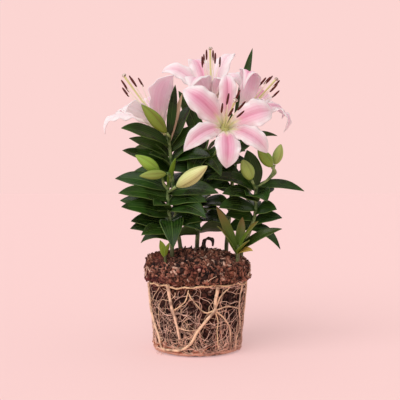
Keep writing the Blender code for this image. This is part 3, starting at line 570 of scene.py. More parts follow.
def buildStrandTree():
    # skins each path with a round tube that wobbles and swells along its way
    tree, given = newTree("strands", {
        "Spacing": ("Float", 0.002), "Sides": ("Int", 6),
        "Wobble": ("Float", 0.0), "Wobble Scale": ("Float", 60.0),
        "Swell": ("Float", 0.1), "Swell Scale": ("Float", 120.0),
        "Palest": ("Float", 0.0), "Darkest": ("Float", 1.0),
        "Seed": ("Int", 3), "Material": ("Material", None),
    })
    path = addNode(
        tree, "GeometryNodeResampleCurve", {"Curve": given["Geometry"], "Length": given["Spacing"]},
        mode="LENGTH",
    ).outputs["Curve"]
    place = addNode(tree, "GeometryNodeInputPosition").outputs["Position"]
    path = shaken(tree, path, place, given["Wobble Scale"], 2.0, given["Wobble"])
    lump = cloud(tree, place, given["Swell Scale"], 1.0)["Fac"]
    swing = times(tree, maths(tree, "SUBTRACT", lump, 0.5), given["Swell"])
    size = times(tree, addNode(tree, "GeometryNodeInputRadius").outputs[0], maths(tree, "ADD", swing, 1.0))
    part = addNode(tree, "GeometryNodeSplineParameter")
    path = stored(tree, path, "along", part.outputs["Factor"], "POINT")
    path = stored(tree, path, "tone", drawn(tree, given["Palest"], given["Darkest"], given["Seed"]), "CURVE")
    ring = addNode(tree, "GeometryNodeCurvePrimitiveCircle", {"Resolution": given["Sides"], "Radius": 1.0})
    skin = addNode(
        tree, "GeometryNodeCurveToMesh",
        {"Curve": path, "Profile Curve": ring.outputs["Curve"], "Scale": size, "Fill Caps": True},
    )
    smooth = addNode(
        tree, "GeometryNodeSetShadeSmooth", {"Geometry": skin.outputs["Mesh"], "Shade Smooth": True})
    return endTree(tree, smooth.outputs["Geometry"], given["Material"])


def buildScatterTree():
    # flat irregular bits that lie on a surface, thickest where its mask is high
    tree, given = newTree("scatter", {
        "Density": ("Float", 9000.0), "Mask": ("String", "loose"),
        "Least": ("Float", 0.001), "Most": ("Float", 0.004),
        "Flatness": ("Float", 0.4), "Roughness": ("Float", 0.0006),
        "Seed": ("Int", 5), "Material": ("Material", None),
    })
    mask = named(tree, given["Mask"], "FLOAT")
    spots = addNode(
        tree, "GeometryNodeDistributePointsOnFaces",
        {"Mesh": given["Geometry"], "Density": times(tree, given["Density"], mask), "Seed": given["Seed"]},
        distribute_method="RANDOM",
    )
    spin = vector(tree, drawn(tree, -0.5, 0.5, 1), drawn(tree, -0.5, 0.5, 2), drawn(tree, 0.0, 6.28, 3))
    turned = addNode(
        tree, "FunctionNodeRotateRotation",
        {"Rotation": spots.outputs["Rotation"],
         "Rotate By": addNode(tree, "FunctionNodeEulerToRotation", {"Euler": spin}).outputs[0]},
        rotation_space="LOCAL",
    )
    chance = maths(tree, "POWER", drawn(tree, 0.0, 1.0, 4), 2.5)
    size = maths(tree, "ADD", given["Least"], times(
        tree, chance, maths(tree, "SUBTRACT", given["Most"], given["Least"])))
    shape = vector(
        tree, size, times(tree, size, drawn(tree, 0.12, 0.58, 5)), times(tree, size, given["Flatness"]))
    bit = addNode(tree, "GeometryNodeMeshIcoSphere", {"Radius": 1.0, "Subdivisions": 1})
    bits = addNode(tree, "GeometryNodeInstanceOnPoints", {
        "Points": spots.outputs["Points"], "Instance": bit.outputs["Mesh"], "Rotation": turned.outputs[0],
        "Scale": shape,
    }).outputs["Instances"]
    bits = stored(tree, bits, "tone", drawn(tree, 0.0, 1.0, 6), "INSTANCE")
    solid = addNode(tree, "GeometryNodeRealizeInstances", {"Geometry": bits}).outputs["Geometry"]
    place = addNode(tree, "GeometryNodeInputPosition").outputs["Position"]
    worn = shaken(tree, solid, place, 520.0, 1.0, given["Roughness"])
    return endTree(tree, worn, given["Material"])


def buildSeedTree():
    # one form set on every point of a mesh, its length along the point's aim
    tree, given = newTree("setOnPoints", {
        "Form": ("Object", None), "Least": ("Float", 0.9), "Most": ("Float", 1.1), "Seed": ("Int", 2),
        "Material": ("Material", None),
    })
    aim = named(tree, "aim", "FLOAT_VECTOR")
    turned = addNode(tree, "FunctionNodeAlignRotationToVector", {"Vector": aim}, axis="Z")
    form = addNode(tree, "GeometryNodeObjectInfo", {"Object": given["Form"]}, transform_space="ORIGINAL")
    size = drawn(tree, given["Least"], given["Most"], given["Seed"])
    copies = addNode(tree, "GeometryNodeInstanceOnPoints", {
        "Points": given["Geometry"], "Instance": form.outputs["Geometry"], "Rotation": turned.outputs[0],
        "Scale": vector(tree, size, size, size),
    })
    return endTree(tree, copies.outputs["Instances"], given["Material"])


strandTree = buildStrandTree()
scatterTree = buildScatterTree()
seedTree = buildSeedTree()


def grown(name, source, tree, **values):
    # the plain mesh that a tree makes of the source object, which is removed
    modifier = source.modifiers.new(tree.name, "NODES")
    modifier.node_group = tree
    sockets = {item.name: item.identifier for item in tree.interface.items_tree if item.in_out == "INPUT"}
    for label, value in values.items():
        modifier[sockets[label.replace("_", " ")]] = value
    bpy.context.view_layer.update()
    ready = source.evaluated_get(bpy.context.evaluated_depsgraph_get())
    mesh = bpy.data.meshes.new_from_object(ready)
    bpy.data.objects.remove(source, do_unlink=True)
    mesh.name = name
    return addObject(name, mesh)


def pathsObject(lines):
    # a curve object of (points, radii) lines
    data = bpy.data.curves.new("paths", "CURVE")
    data.dimensions = "3D"
    for points, radii in lines:
        spline = data.splines.new("POLY")
        spline.points.add(len(points) - 1)
        for knot, place, radius in zip(spline.points, points, radii):
            knot.co = (*place, 1.0)
            knot.radius = radius
    return addObject("paths", data)


def settle(slotName, nodeName, *pieces):
    # every piece rides on the one body and stands for its node, whose CAD part is hidden
    for piece in pieces:
        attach(piece, "root")
        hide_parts(nodeName)


def skinned(name, form, *materials):
    # the object of a bmesh, smooth, with its materials
    mesh = bpy.data.meshes.new(name)
    form.to_mesh(mesh)
    form.free()
    mesh.shade_smooth()
    for material in materials:
        mesh.materials.append(material)
    return addObject(name, mesh)


# Curves shared by petals, leaves and stems

def bezier(points, u):
    a, b, c, d = points
    v = 1.0 - u
    return a * v**3 + b * (3 * v * v * u) + c * (3 * v * u * u) + d * u**3


def bezierTangent(points, u):
    a, b, c, d = points
    v = 1.0 - u
    return ((b - a) * v * v + (c - b) * (2 * v * u) + (d - c) * u * u).normalized()


def smoothRoute(points, steps):
    # a Catmull-Rom line through the points
    points = [Vector(p) for p in points]
    ends = [points[0] * 2 - points[1]] + points + [points[-1] * 2 - points[-2]]
    line = []
    for i in range(1, len(ends) - 2):
        a, b, c, d = ends[i - 1 : i + 3]
        for step in range(steps):
            t = step / steps
            slope = c - a
            curve = a * 2 - b * 5 + c * 4 - d
            twist = b * 3 - a - c * 3 + d
            line.append(0.5 * (b * 2 + slope * t + curve * t * t + twist * t**3))
    return line + [points[-1]]


def tapered(places, radius, loss, start=1.0):
    # radii that shrink evenly along a line
    last = len(places) - 1
    return [radius * (start - loss * i / last) for i in range(last + 1)]


def swollen(places, radius, gain, power, start=1.0):
    # radii that grow towards the end of a line
    last = len(places) - 1
    return [radius * (start + gain * (i / last) ** power) for i in range(last + 1)]


def clamped(value):
    return min(max(value, 0.0), 1.0)


def smoothStep(low, high, value):
    share = clamped((value - low) / (high - low))
    return share * share * (3.0 - 2.0 * share)


def newSheets():
    # an empty bmesh with a UV map and a tone for each sheet that is laid into it
    sheets = bmesh.new()
    sheets.loops.layers.uv.new("UVMap")
    sheets.verts.layers.float.new("tone")
    return sheets


def layGrid(sheets, shape):
    # lays in a grid: each of its points, with u, 0 to 1 along it, and v, -1 to 1 across it
    grid = bmesh.ops.create_grid(
        sheets, x_segments=shape["columns"], y_segments=shape["rows"], size=1.0, calc_uvs=True)
    return [(point, (point.co.y + 1.0) / 2.0, point.co.x) for point in grid["verts"]]


def laySheet(sheets, place, shape, tone):
    layer = sheets.verts.layers.float["tone"]
    for point, u, v in layGrid(sheets, shape):
        point.co = place(u, v)
        point[layer] = tone


def sheetsPiece(name, sheets, thickness, *materials):
    # closes the sheets with a thickness; the second material is on their backs
    piece = skinned(name, sheets, *materials)
    wall = piece.modifiers.new("thickness", "SOLIDIFY")
    wall.thickness = thickness
    wall.offset = -1.0
    wall.material_offset = len(materials) - 1
    wall.use_rim = True
    return piece


# Root ball: peat and bark in the shape of the pot

ball = {
    "footFlat": 0.058,
    "footRadius": 0.0650,
    "neckRadius": 0.0728,
    "footEdge": (0.003, 0.0022),        # how far inside the foot's radius its edge lies, and how high
    "bandRadius": 0.0820,
    "bandEdge": 0.001,                  # by which the band is narrower at its edges
    "bandRises": (0.010, 0.020),
    "shoulder": 0.007,                  # from the band to the start of the mound
    "moundRadii": (0.064, 0.052, 0.040, 0.028, 0.015, 0.0),
    "bandBottom": 0.1055,
    "bandTop": 0.1350,
    "moundTop": 0.1470,
    "topLean": -0.037,      # the mound slopes down to the right
    "sideRelief": 0.0024,
    "bandRelief": 0.0050,
    "topRelief": 0.0065,
    "leastRelief": 0.45,    # share of the side's relief that every spot has
    "wallGrain": 95.0,
    "topGrain": 60.0,
    "wallFoot": 0.008,
    "wallTop": 0.1030,
    "wallSteps": 7,
    "footRounding": 0.42,
    "around": 340,
    "upright": 190,
    "chunkScale": 165.0,
    "chunkLift": 0.0022,
    "chunkBend": 0.003,     # how far the edges of the chunks stray, at this scale
    "bendScale": 70.0,
    "gapDepth": 0.0052,
    "crumbScale": 420.0,
    "crumbLift": 0.0008,
}
barkBits = {
    "Density": 76000.0, "Mask": "loose", "Least": 0.0009, "Most": 0.0064, "Flatness": 0.24,
    "Roughness": 0.0030, "Seed": 11,
}


def moundHeight(radius):
    fall = 1.0 - (radius / ball["bandRadius"]) ** 2
    return ball["bandTop"] + (ball["moundTop"] - ball["bandTop"]) * fall


def wallRadius(height):
    share = clamped((height - ball["wallFoot"]) / (ball["wallTop"] - ball["wallFoot"]))
    rounding = max(ball["wallFoot"] - height, 0.0) * ball["footRounding"]
    return ball["footRadius"] + (ball["neckRadius"] - ball["footRadius"]) * share - rounding


def soilTop(x, y):
    return moundHeight(min(math.hypot(x, y), ball["bandRadius"])) + ball["topLean"] * x


def ballProfile():
    # radius, height, depth of side relief and share of top relief, from the foot's middle to the mound's
    flat, band = ball["footFlat"], ball["bandRadius"]
    side, bandSide = ball["sideRelief"], ball["bandRelief"]
    rows = [(0.0, 0.0, 0.0, 0.0), (flat / 2, 0.0, 0.0, 0.0), (flat, 0.0, 0.0, 0.0)]
    inset, rise = ball["footEdge"]
    rows.append((ball["footRadius"] - inset, rise, side * 0.4, 0.0))
    for step in range(ball["wallSteps"] + 1):
        height = ball["wallFoot"] + (ball["wallTop"] - ball["wallFoot"]) * step / ball["wallSteps"]
        rows.append((wallRadius(height), height, side, 0.0))
    rows.append((band - ball["bandEdge"], ball["bandBottom"] + 0.0012, bandSide * 0.5, 0.0))
    rows += [(band, ball["bandBottom"] + rise, bandSide, 0.1) for rise in ball["bandRises"]]
    rows.append((band - ball["bandEdge"], ball["bandTop"] - 0.003, bandSide, 0.5))
    rows.append((band - ball["shoulder"], ball["bandTop"], 0.0, 1.0))
    rows += [(radius, moundHeight(radius), 0.0, 1.0) for radius in ball["moundRadii"]]
    return rows


def evenProfile(rows, count):
    # the profile at even steps of its length, each with its outward direction
    reach = 0.003       # how far to each side the direction is taken
    lengths = [0.0]
    for a, b in zip(rows, rows[1:]):
        lengths.append(lengths[-1] + math.hypot(b[0] - a[0], b[1] - a[1]))

    def at(length):
        length = min(max(length, 0.0), lengths[-1])
        index = 0
        while index < len(rows) - 2 and lengths[index + 1] < length:
            index += 1
        share = (length - lengths[index]) / (lengths[index + 1] - lengths[index])
        return [a + (b - a) * share for a, b in zip(rows[index], rows[index + 1])]

    even = []
    for step in range(count + 1):
        length = lengths[-1] * step / count
        before, after = at(length - reach), at(length + reach)
        even.append((at(length), Vector((after[1] - before[1], before[0] - after[0])).normalized()))
    return even


def soilSkin(row, out, angle):
    # a point of the soil with its bark chunks; also the chunk's tone and how deep the gap is, which also sets
    # the painted shade of the crevice
    radius, height, side, top = row
    across = Vector((math.cos(angle), math.sin(angle), 0.0))
    spot = across * radius + up * height
    rough = clamped(0.75 + 0.75 * noise.noise(spot * ball["wallGrain"]))
    lump = noise.noise(spot * ball["topGrain"] + Vector((3.0, 1.0, 7.0)))
    least = ball["leastRelief"]
    skin = across * (radius - side * (least + (1.0 - least) * rough))
    skin += up * (height + top * (ball["topRelief"] * lump + ball["topLean"] * skin.x))
    share = min(1.0, max(side / ball["sideRelief"], top))
    bend = spot + noise.noise_vector(spot * ball["bendScale"]) * ball["chunkBend"]
    near, cells = noise.voronoi(bend * ball["chunkScale"])
    edge = near[1] - near[0]
    tone = clamped(0.5 + 0.8 * noise.noise(cells[0] * 5.3))
    gap = 1.0 - smoothStep(0.02, 0.20, edge)
    body = smoothStep(0.0, 0.45, edge) * (0.35 + 0.65 * tone) - 0.35
    push = body * ball["chunkLift"] - gap * ball["gapDepth"] * 0.5
    push += ball["crumbLift"] * noise.noise(spot * ball["crumbScale"])
    direction = across * out.x + up * out.y
    return skin + direction * (push * share), tone, gap * share


def roundShell(around, upright):
    # a unit sphere whose points and faces come in the same order each time
    shell = bmesh.new()
    rings = []
    for level in range(1, upright):
        polar = math.pi * level / upright
        turns = [2 * math.pi * step / around for step in range(around)]
        rings.append([shell.verts.new((
            math.sin(polar) * math.cos(turn), math.sin(polar) * math.sin(turn), -math.cos(polar),
        )) for turn in turns])
    foot, crown = shell.verts.new((0.0, 0.0, -1.0)), shell.verts.new((0.0, 0.0, 1.0))
    for step in range(around):
        after = (step + 1) % around
        shell.faces.new((foot, rings[0][after], rings[0][step]))
        for low, high in zip(rings, rings[1:]):
            shell.faces.new((low[step], low[after], high[after], high[step]))
        shell.faces.new((crown, rings[-1][step], rings[-1][after]))
    return shell


def buildSoil(barkSkin):
    rows = evenProfile(ballProfile(), ball["upright"])
    soil = roundShell(ball["around"], ball["upright"])
    marks = {name: soil.verts.layers.float.new(name) for name in ("tone", "gap", "loose")}
    for point in soil.verts:
        polar = math.acos(max(-1.0, min(1.0, -point.co.z)))
        row, out = rows[round(polar / math.pi * ball["upright"])]
        place, tone, gap = soilSkin(row, out, math.atan2(point.co.y, point.co.x))
        place.z = max(place.z, 0.0)
        point.co = place
        # the gap mark carries the painted shade of the crevices
        point[marks["tone"]], point[marks["gap"]] = tone, gap
        wall = smoothStep(0.006, 0.020, row[1])
        point[marks["loose"]] = wall * (0.5 + 0.5 * smoothStep(0.095, 0.104, row[1]))
    body = skinned("soilBody", soil, barkSkin)
    ground = addObject("ground", body.data.copy())
    bits = grown("barkBits", ground, scatterTree, Material=barkSkin, **barkBits)
    settle("soil", "soil_ball", body, bits)


# Roots: degrees round the ball from the front and height, then a radius

mainRoots = (
    (((-34, 0.101), (-31, 0.074), (-27, 0.056), (-24, 0.042), (-22, 0.026)), 0.0025),
    (((23, 0.101), (20, 0.077), (20, 0.068), (11, 0.055), (-1, 0.036), (-8, 0.021), (-22, 0.010),
      (-48, 0.008)), 0.0025),
    (((-78, 0.100), (-76, 0.070), (-68, 0.046), (-57, 0.028), (-51, 0.010), (-44, 0.005)), 0.0021),
    (((62, 0.100), (58, 0.070), (64, 0.040), (56, 0.018), (58, 0.004)), 0.0013),
    (((96, 0.100), (92, 0.066), (100, 0.034), (96, 0.004)), 0.0018),
    (((132, 0.100), (138, 0.070), (130, 0.036), (140, 0.004)), 0.0021),
    (((176, 0.100), (168, 0.068), (180, 0.030), (174, 0.004)), 0.0017),
    (((-140, 0.100), (-148, 0.070), (-138, 0.034), (-150, 0.004)), 0.0021),
    (((-108, 0.100), (-104, 0.068), (-114, 0.032), (-106, 0.004)), 0.0018),
    (((20, 0.068), (39, 0.071), (61, 0.064)), 0.0010),
    (((20, 0.068), (32, 0.056), (43, 0.038), (46, 0.015), (47, 0.004)), 0.0012),
    (((20, 0.068), (25, 0.051), (24, 0.034), (27, 0.012)), 0.0010),
    (((20, 0.068), (9, 0.065), (-3, 0.079), (-11, 0.094)), 0.0011),
    (((20, 0.068), (28, 0.088), (38, 0.098)), 0.0012),
    (((-31, 0.065), (-15, 0.079), (-10, 0.097)), 0.0010),
    (((-25, 0.042), (-11, 0.039), (2, 0.041)), 0.0010),
)
rootWeb = {
    "seat": -0.0004,        # from the wall's unworn radius to a root's inner side
    "bandInset": 0.0026,    # how far inside the band's radius its roots lie
    "taper": 0.35,          # share of its radius that a thick root loses along its way
    "fineTaper": 0.45,
    "fineCount": 330,
    "fineLeast": 0.00024,
    "fineMost": 0.00068,
    "fineStep": 0.0056,
    "fineLevels": (0.0022, 0.1030),
    "ringSteps": 160,
    "ringCount": 56,
    "ringLevels": (0.0022, 0.018),
    "bandCount": 46,
    "bandLevels": ((0.0985, 0.1045), (0.1090, 0.1260)),     # the step below the band, and the band
    "hairCount": 7,
    "hairRadius": 0.00022,
    "seed": 7,
    "noiseSeed": 21,        # of the chunks and of the roots that ring the ball
}
rootStrands = {
    "thickRoots": {
        "Spacing": 0.0014, "Sides": 9, "Wobble": 0.0020, "Wobble_Scale": 110.0, "Swell": 0.7,
        "Swell_Scale": 160.0, "Palest": 0.0, "Darkest": 0.30, "Seed": 3,
    },
    "ringRoots": {
        "Spacing": 0.0018, "Sides": 7, "Wobble": 0.0022, "Wobble_Scale": 130.0, "Swell": 0.9,
        "Swell_Scale": 200.0, "Palest": 0.50, "Darkest": 1.0, "Seed": 5,
    },
    "fineRoots": {
        "Spacing": 0.0026, "Sides": 5, "Wobble": 0.0026, "Wobble_Scale": 150.0, "Swell": 0.7,
        "Swell_Scale": 260.0, "Palest": 0.15, "Darkest": 0.78, "Seed": 8,
    },
}


def ballRadius(height):
    # the wall's unworn radius, with the band above it
    if height > ball["bandBottom"]:
        return ball["bandRadius"] - rootWeb["bandInset"]
    return wallRadius(height)


def onBall(angle, height, lift):
    radius = ballRadius(height) + lift
    turn = math.radians(angle - 90.0)
    return Vector((math.cos(turn) * radius, math.sin(turn) * radius, height))


def mainRootLines():
    lines = []
    for track, radius in mainRoots:
        line = smoothRoute([(a, h, 0.0) for a, h in track], 8)
        places = [onBall(p.x, max(p.y, radius + 0.0003), radius + rootWeb["seat"]) for p in line]
        lines.append((places, tapered(places, radius, rootWeb["taper"])))
    lines.append(ringRoot(ball["bandBottom"] - 0.0045, 0.0012, 0.0010, 0.0036))
    return lines


def ringRoot(level, radius, sway, stray):
    # a root all round the ball that strays from its level
    places = []
    for step in range(rootWeb["ringSteps"] + 1):
        turn = 2 * math.pi * step / rootWeb["ringSteps"]
        height = level + sway * (math.sin(turn * 3) + 0.5 * math.sin(turn * 7))
        drift = noise.noise_vector(onBall(math.degrees(turn), height, 0.0) * 60.0)
        height = min(max(height + stray * drift.x, radius), ball["bandBottom"] - 0.001)
        places.append(onBall(math.degrees(turn), height, radius + rootWeb["seat"] - 0.0012 * abs(drift.y)))
    return places, [radius] * len(places)


def wanderingRoot(draw, angle, height, heading, steps, turnBy, radius, low, high):
    # a root that wanders over the ball and stays between two heights
    places = []
    lift = draw.uniform(-0.0014, 0.0010)
    for step in range(steps):
        level = min(max(height, low), high)
        places.append(onBall(angle, max(level, radius + 0.0004), radius + lift))
        heading += draw.gauss(0.0, turnBy)
        if level != height:
            heading = math.pi - heading
            height = level
        angle += math.degrees(math.sin(heading) * rootWeb["fineStep"] / ballRadius(height))
        height += math.cos(heading) * rootWeb["fineStep"]
    places = smoothRoute(places, 3)
    return places, tapered(places, radius, rootWeb["fineTaper"])


def ringRootLines(draw):
    # the browner roots that ring the ball's foot
    lines = [ringRoot(0.0044, 0.0019, 0.0014, 0.0030)]
    for number in range(rootWeb["ringCount"]):
        radius = draw.uniform(0.0005, 0.0012)
        heading = draw.choice((-1, 1)) * math.pi / 2
        lines.append(wanderingRoot(
            draw, draw.uniform(-180, 180), draw.uniform(0.0022, 0.0130), heading, draw.randint(6, 16), 0.45,
            radius, *rootWeb["ringLevels"]))
    return lines


def fineRootLines(draw):
    lines = []
    for number in range(rootWeb["fineCount"]):
        radius = rootWeb["fineLeast"] + (rootWeb["fineMost"] - rootWeb["fineLeast"]) * draw.random() ** 2
        height = 0.100 * draw.random() ** 1.5
        heading = math.pi + draw.gauss(0.0, 0.9)
        lines.append(wanderingRoot(
            draw, draw.uniform(-180, 180), height, heading, draw.randint(9, 24), 0.42, radius,
            *rootWeb["fineLevels"]))
    for number in range(rootWeb["bandCount"]):
        # roots that run level in the step below the band, and one in three on the band
        low, high = rootWeb["bandLevels"][number % 3 == 0]
        heading = math.pi / 2 + draw.gauss(0.0, 0.35)
        lines.append(wanderingRoot(
            draw, draw.uniform(-180, 180), draw.uniform(low, high), heading, draw.randint(5, 12), 0.30,
            draw.uniform(0.0003, 0.0009), low, high))
    for number in range(rootWeb["hairCount"]):
        # loose hairs at the foot, front left
        angle = draw.uniform(-62, -38)
        start = onBall(angle, draw.uniform(0.002, 0.006), -0.001)
        away = Vector((start.x, start.y, 0.0)).normalized()
        side = away.cross(up) * draw.uniform(-0.6, 0.6)
        reach = draw.uniform(0.006, 0.014)
        ends = [start, start + away * reach * 0.5 + up * 0.001, start + (away + side) * reach]
        ends[-1].z = 0.0008
        places = smoothRoute(ends, 4)
        lines.append((places, [rootWeb["hairRadius"]] * len(places)))
    return lines


def buildRoots(rootSkin):
    draw = random.Random(rootWeb["seed"])
    kinds = {
        "thickRoots": mainRootLines(),
        "ringRoots": ringRootLines(draw),
        "fineRoots": fineRootLines(draw),
    }
    for name, lines in kinds.items():
        piece = grown(name, pathsObject(lines), strandTree, Material=rootSkin, **rootStrands[name])
        for point in piece.data.vertices:
            point.co.z = max(point.co.z, 0.0)
        settle("root", "root_net", piece)


# Blooms. Each petal has its tip, then the knee that bends it (share of the way out, how far above the
# tip along the flower's axis, and lift), the roll in degrees and the greatest width.
# The wide petals are the inner three.

blooms = {
    "front": {
        "foot": (0.0385, -0.022, 0.326),
        "axis": (0.10, -0.965, 0.20),
        "stamenLean": (0.002, 0.0, 0.009),
        "antherAim": (0.42, -0.45, 0.80),
        "bluntness": 2.5,
        "curl": 0.011,
        "tones": (1.0, 0.9, 0.8, 0.75, 1.0, 0.8),
        "petals": (
            ((-0.023, -0.066, 0.384), (0.58, 0.018, -0.004), 0, 0.039),
            ((0.041, -0.060, 0.408), (0.58, 0.016, 0.000), 0, 0.025),
            ((0.112, -0.058, 0.352), (0.58, 0.018, 0.000), 0, 0.040),
            ((0.104, -0.070, 0.288), (0.56, 0.020, 0.006), 0, 0.029),
            ((0.041, -0.084, 0.264), (0.56, 0.020, 0.000), 0, 0.036),
            ((-0.023, -0.080, 0.2900), (0.56, 0.022, 0.014), 0, 0.028),
        ),
    },
    "top": {
        "foot": (0.019, 0.027, 0.356),
        "axis": (0.0, -0.14, 0.99),
        "stamenLean": (0.0, 0.0, 0.0),
        "bluntness": 1.9,
        "tones": (0.5, 0.8, 0.35, 0.4, 0.75, 0.75),
        "petals": (
            ((-0.056, 0.014, 0.418), (0.60, 0.010, 0.006), -52, 0.030),
            ((-0.012, 0.074, 0.446), (0.52, 0.010, 0.000), 0, 0.038),
            ((0.060, 0.070, 0.455), (0.50, 0.008, 0.000), 0, 0.031),
            ((0.070, 0.014, 0.390), (0.78, 0.046, 0.000), 24, 0.039),
            ((0.046, -0.030, 0.391), (0.62, 0.026, 0.000), 0, 0.027),
            ((-0.013, -0.042, 0.385), (0.62, 0.036, 0.000), 0, 0.038),
        ),
    },
    "left": {
        "foot": (-0.051, 0.004, 0.323),
        "axis": (-0.54, -0.12, 0.83),
        "stamenLean": (-0.005, 0.0, 0.003),
        "bluntness": 1.7,
        "tones": (0.14, 0.05, 1.0, 0.7, 0.6, 0.4),
        "petals": (
            ((-0.143, -0.010, 0.321), (0.66, 0.034, 0.000), -18, 0.034),
            ((-0.104, -0.070, 0.350), (0.60, 0.014, 0.000), 0, 0.026),
            ((-0.036, -0.042, 0.407), (0.52, -0.006, 0.000), -38, 0.041),
            ((-0.040, 0.030, 0.390), (0.60, 0.016, 0.000), 0, 0.028),
            ((-0.060, 0.074, 0.384), (0.60, 0.030, 0.000), 0, 0.038),
            ((-0.126, 0.054, 0.352), (0.60, 0.026, 0.000), 0, 0.027),
        ),
    },
    "right": {
        "foot": (0.062, 0.022, 0.345),
        "axis": (0.66, -0.24, 0.71),
        "stamenLean": (-0.006, 0.0, -0.008),
        "bluntness": 1.9,
        "tones": (1.0, 0.8, 0.7, 0.8, 0.9, 0.7),
        "petals": (
            ((0.062, -0.032, 0.386), (0.60, 0.020, 0.058), 26, 0.038),
            ((0.100, -0.050, 0.340), (0.74, 0.026, 0.010), 0, 0.026),
            ((0.133, -0.010, 0.320), (0.80, 0.044, 0.004), 0, 0.036),
            ((0.138, 0.050, 0.350), (0.62, 0.024, 0.000), 0, 0.027),
            ((0.102, 0.086, 0.394), (0.60, 0.026, 0.000), 0, 0.038),
            ((0.070, 0.062, 0.422), (0.60, 0.018, 0.000), 0, 0.027),
        ),
    },
}
petalShape = {
    "rows": 44,
    "columns": 20,
    "thickness": 0.0009,
    "wideFrom": 0.033,      # from this width a petal is one of the inner three
    "footOut": 0.0040,      # from the flower's axis to the foot of a petal
    "throatOut": 0.0062,
    "outerInset": 0.0012,   # how much further out the narrow three stand
    "tubeLength": 0.036,
    "widest": 0.60,         # share of the length at which a petal is widest
    "cup": 0.55,            # share of the half width, as the next three are
    "wave": 0.10,
    "narrowWave": 0.05,
    "ruffle": 0.15,
    "waves": 11.0,          # radians of the wave along the petal, and of the ruffle
    "ruffles": 34.0,
    "groove": 0.0009,
    "grooveWidth": 0.13,
    "fullness": 0.0012,     # swell on each side of the midrib
    "curl": 0.006,
    "bluntness": 2.3,
}
flowerParts = {
    "cupRadius": 0.0066,
    "cupFoot": 0.0042,
    "cupDrop": 0.004,
    "cupLength": 0.012,
    "cupSteps": 6,
    "cupMouth": 0.86,       # share of the radius at the mouth
    "stamens": 6,
    "stamenTurn": 0.4,      # of the first stamen round the flower's axis, in radians
    "stamenFoot": 0.009,
    "stamenReach": 0.086,
    "stamenStep": 0.005,    # by which the stamens differ in reach
    "stamenSpread": 0.012,
    "styleFoot": 0.006,
    "styleReach": 0.096,
    "styleFootRadius": 0.0022,
    "stigmaRadius": 0.0032,
    "stigmaHeight": 0.0024,
    "filamentRadius": 0.00085,
    "styleRadius": 0.0013,
    "antherLength": 0.0165,
    "antherRadius": 0.0016,
}
papillae = {
    "Density": 90000.0, "Mask": "loose", "Least": 0.00022, "Most": 0.00062, "Flatness": 1.5,
    "Roughness": 0.0, "Seed": 5,
}
flowerGrowth = {
    "cup": {"Spacing": 0.0012, "Sides": 24, "Swell": 0.06, "Seed": 1},
    "filaments": {"Spacing": 0.0022, "Sides": 8, "Swell": 0.1, "Seed": 2},
    "style": {"Spacing": 0.0020, "Sides": 12, "Swell": 0.05, "Seed": 2},
    "anthers": {"Least": 0.92, "Most": 1.06, "Seed": 4},
    "stigma": {"Least": 1.0, "Most": 1.0, "Seed": 1},
}


def bloomAxis(name):
    return Vector(blooms[name]["foot"]), Vector(blooms[name]["axis"]).normalized()


def petalWidth(u, bluntness):
    # share of the greatest half width
    widest = petalShape["widest"]
    if u < widest:
        rise = (u / widest) ** 0.85
        return 0.22 + 0.78 * rise * rise * (3.0 - 2.0 * rise)
    return 1.0 - ((u - widest) / (1.0 - widest)) ** bluntness


def petalPlace(name, petal, number):
    foot, axis = bloomAxis(name)
    bluntness = blooms[name].get("bluntness", petalShape["bluntness"])
    reach = blooms[name].get("curl", petalShape["curl"])
    tip, (pull, arch, lift), roll, width = Vector(petal[0]), *petal[1:]
    wide = width > petalShape["wideFrom"]
    inset = 0.0 if wide else petalShape["outerInset"]
    wave = petalShape["wave" if wide else "narrowWave"]
    height = (tip - foot).dot(axis)
    sideways = tip - foot - axis * height
    out = sideways.normalized()
    across = axis.cross(out)
    knee = foot + axis * (height + arch) + sideways * pull + up * lift
    start = foot + out * (petalShape["footOut"] + inset * 0.3)
    throat = foot + axis * petalShape["tubeLength"] + out * (petalShape["throatOut"] + inset)
    line = (start, throat, knee, tip)

    def place(u, v):
        v = -v      # so that the sheet's front is the petal's inner face
        along = bezierTangent(line, u)
        side = Matrix.Rotation(math.radians(roll) * min(1.0, 1.5 * u), 3, along) @ across
        back = side.cross(along).normalized()
        half = width / 2 * petalWidth(u, bluntness)
        cup = petalShape["cup"] * (1.0 - u) ** 2 * min(1.0, 5.0 * u) - 0.10 * u
        middle = math.sin(math.pi * u)
        ripple = wave * math.sin(u * petalShape["waves"] + number * 1.9 + v) * v * v * middle
        ruffled = math.sin(u * petalShape["ruffles"] + number * 2.3 + 3.0 * v)
        ruffle = petalShape["ruffle"] * ruffled * abs(v) ** 4 * middle
        spread = 1.0 + 0.05 * math.sin(u * 27.0 + number) * abs(v) * middle
        swell = petalShape["fullness"] * math.sin(math.pi * abs(v)) * middle
        furrow = math.exp(-((v / petalShape["grooveWidth"]) ** 2))
        groove = petalShape["groove"] * furrow * min(1.0, 6.0 * (1.0 - u))
        curl = reach * max(0.0, (u - 0.68) / 0.32) ** 2
        raised = half * (cup * v * v + ripple + ruffle) - swell + groove + curl
        return bezier(line, u) + side * (half * v * spread) + back * raised

    return place


def markThroat(sheets):
    # where the papillae stand: the lower middle of the inner faces
    layer = sheets.verts.layers.float.new("loose")
    uv = sheets.loops.layers.uv["UVMap"]
    for face in sheets.faces:
        for corner in face.loops:
            across, along = abs(corner[uv].uv.x * 2.0 - 1.0), corner[uv].uv.y
            inside = smoothStep(0.16, 0.26, along) * (1.0 - smoothStep(0.34, 0.52, along))
            corner.vert[layer] = inside * (1.0 - smoothStep(0.35, 0.75, across))


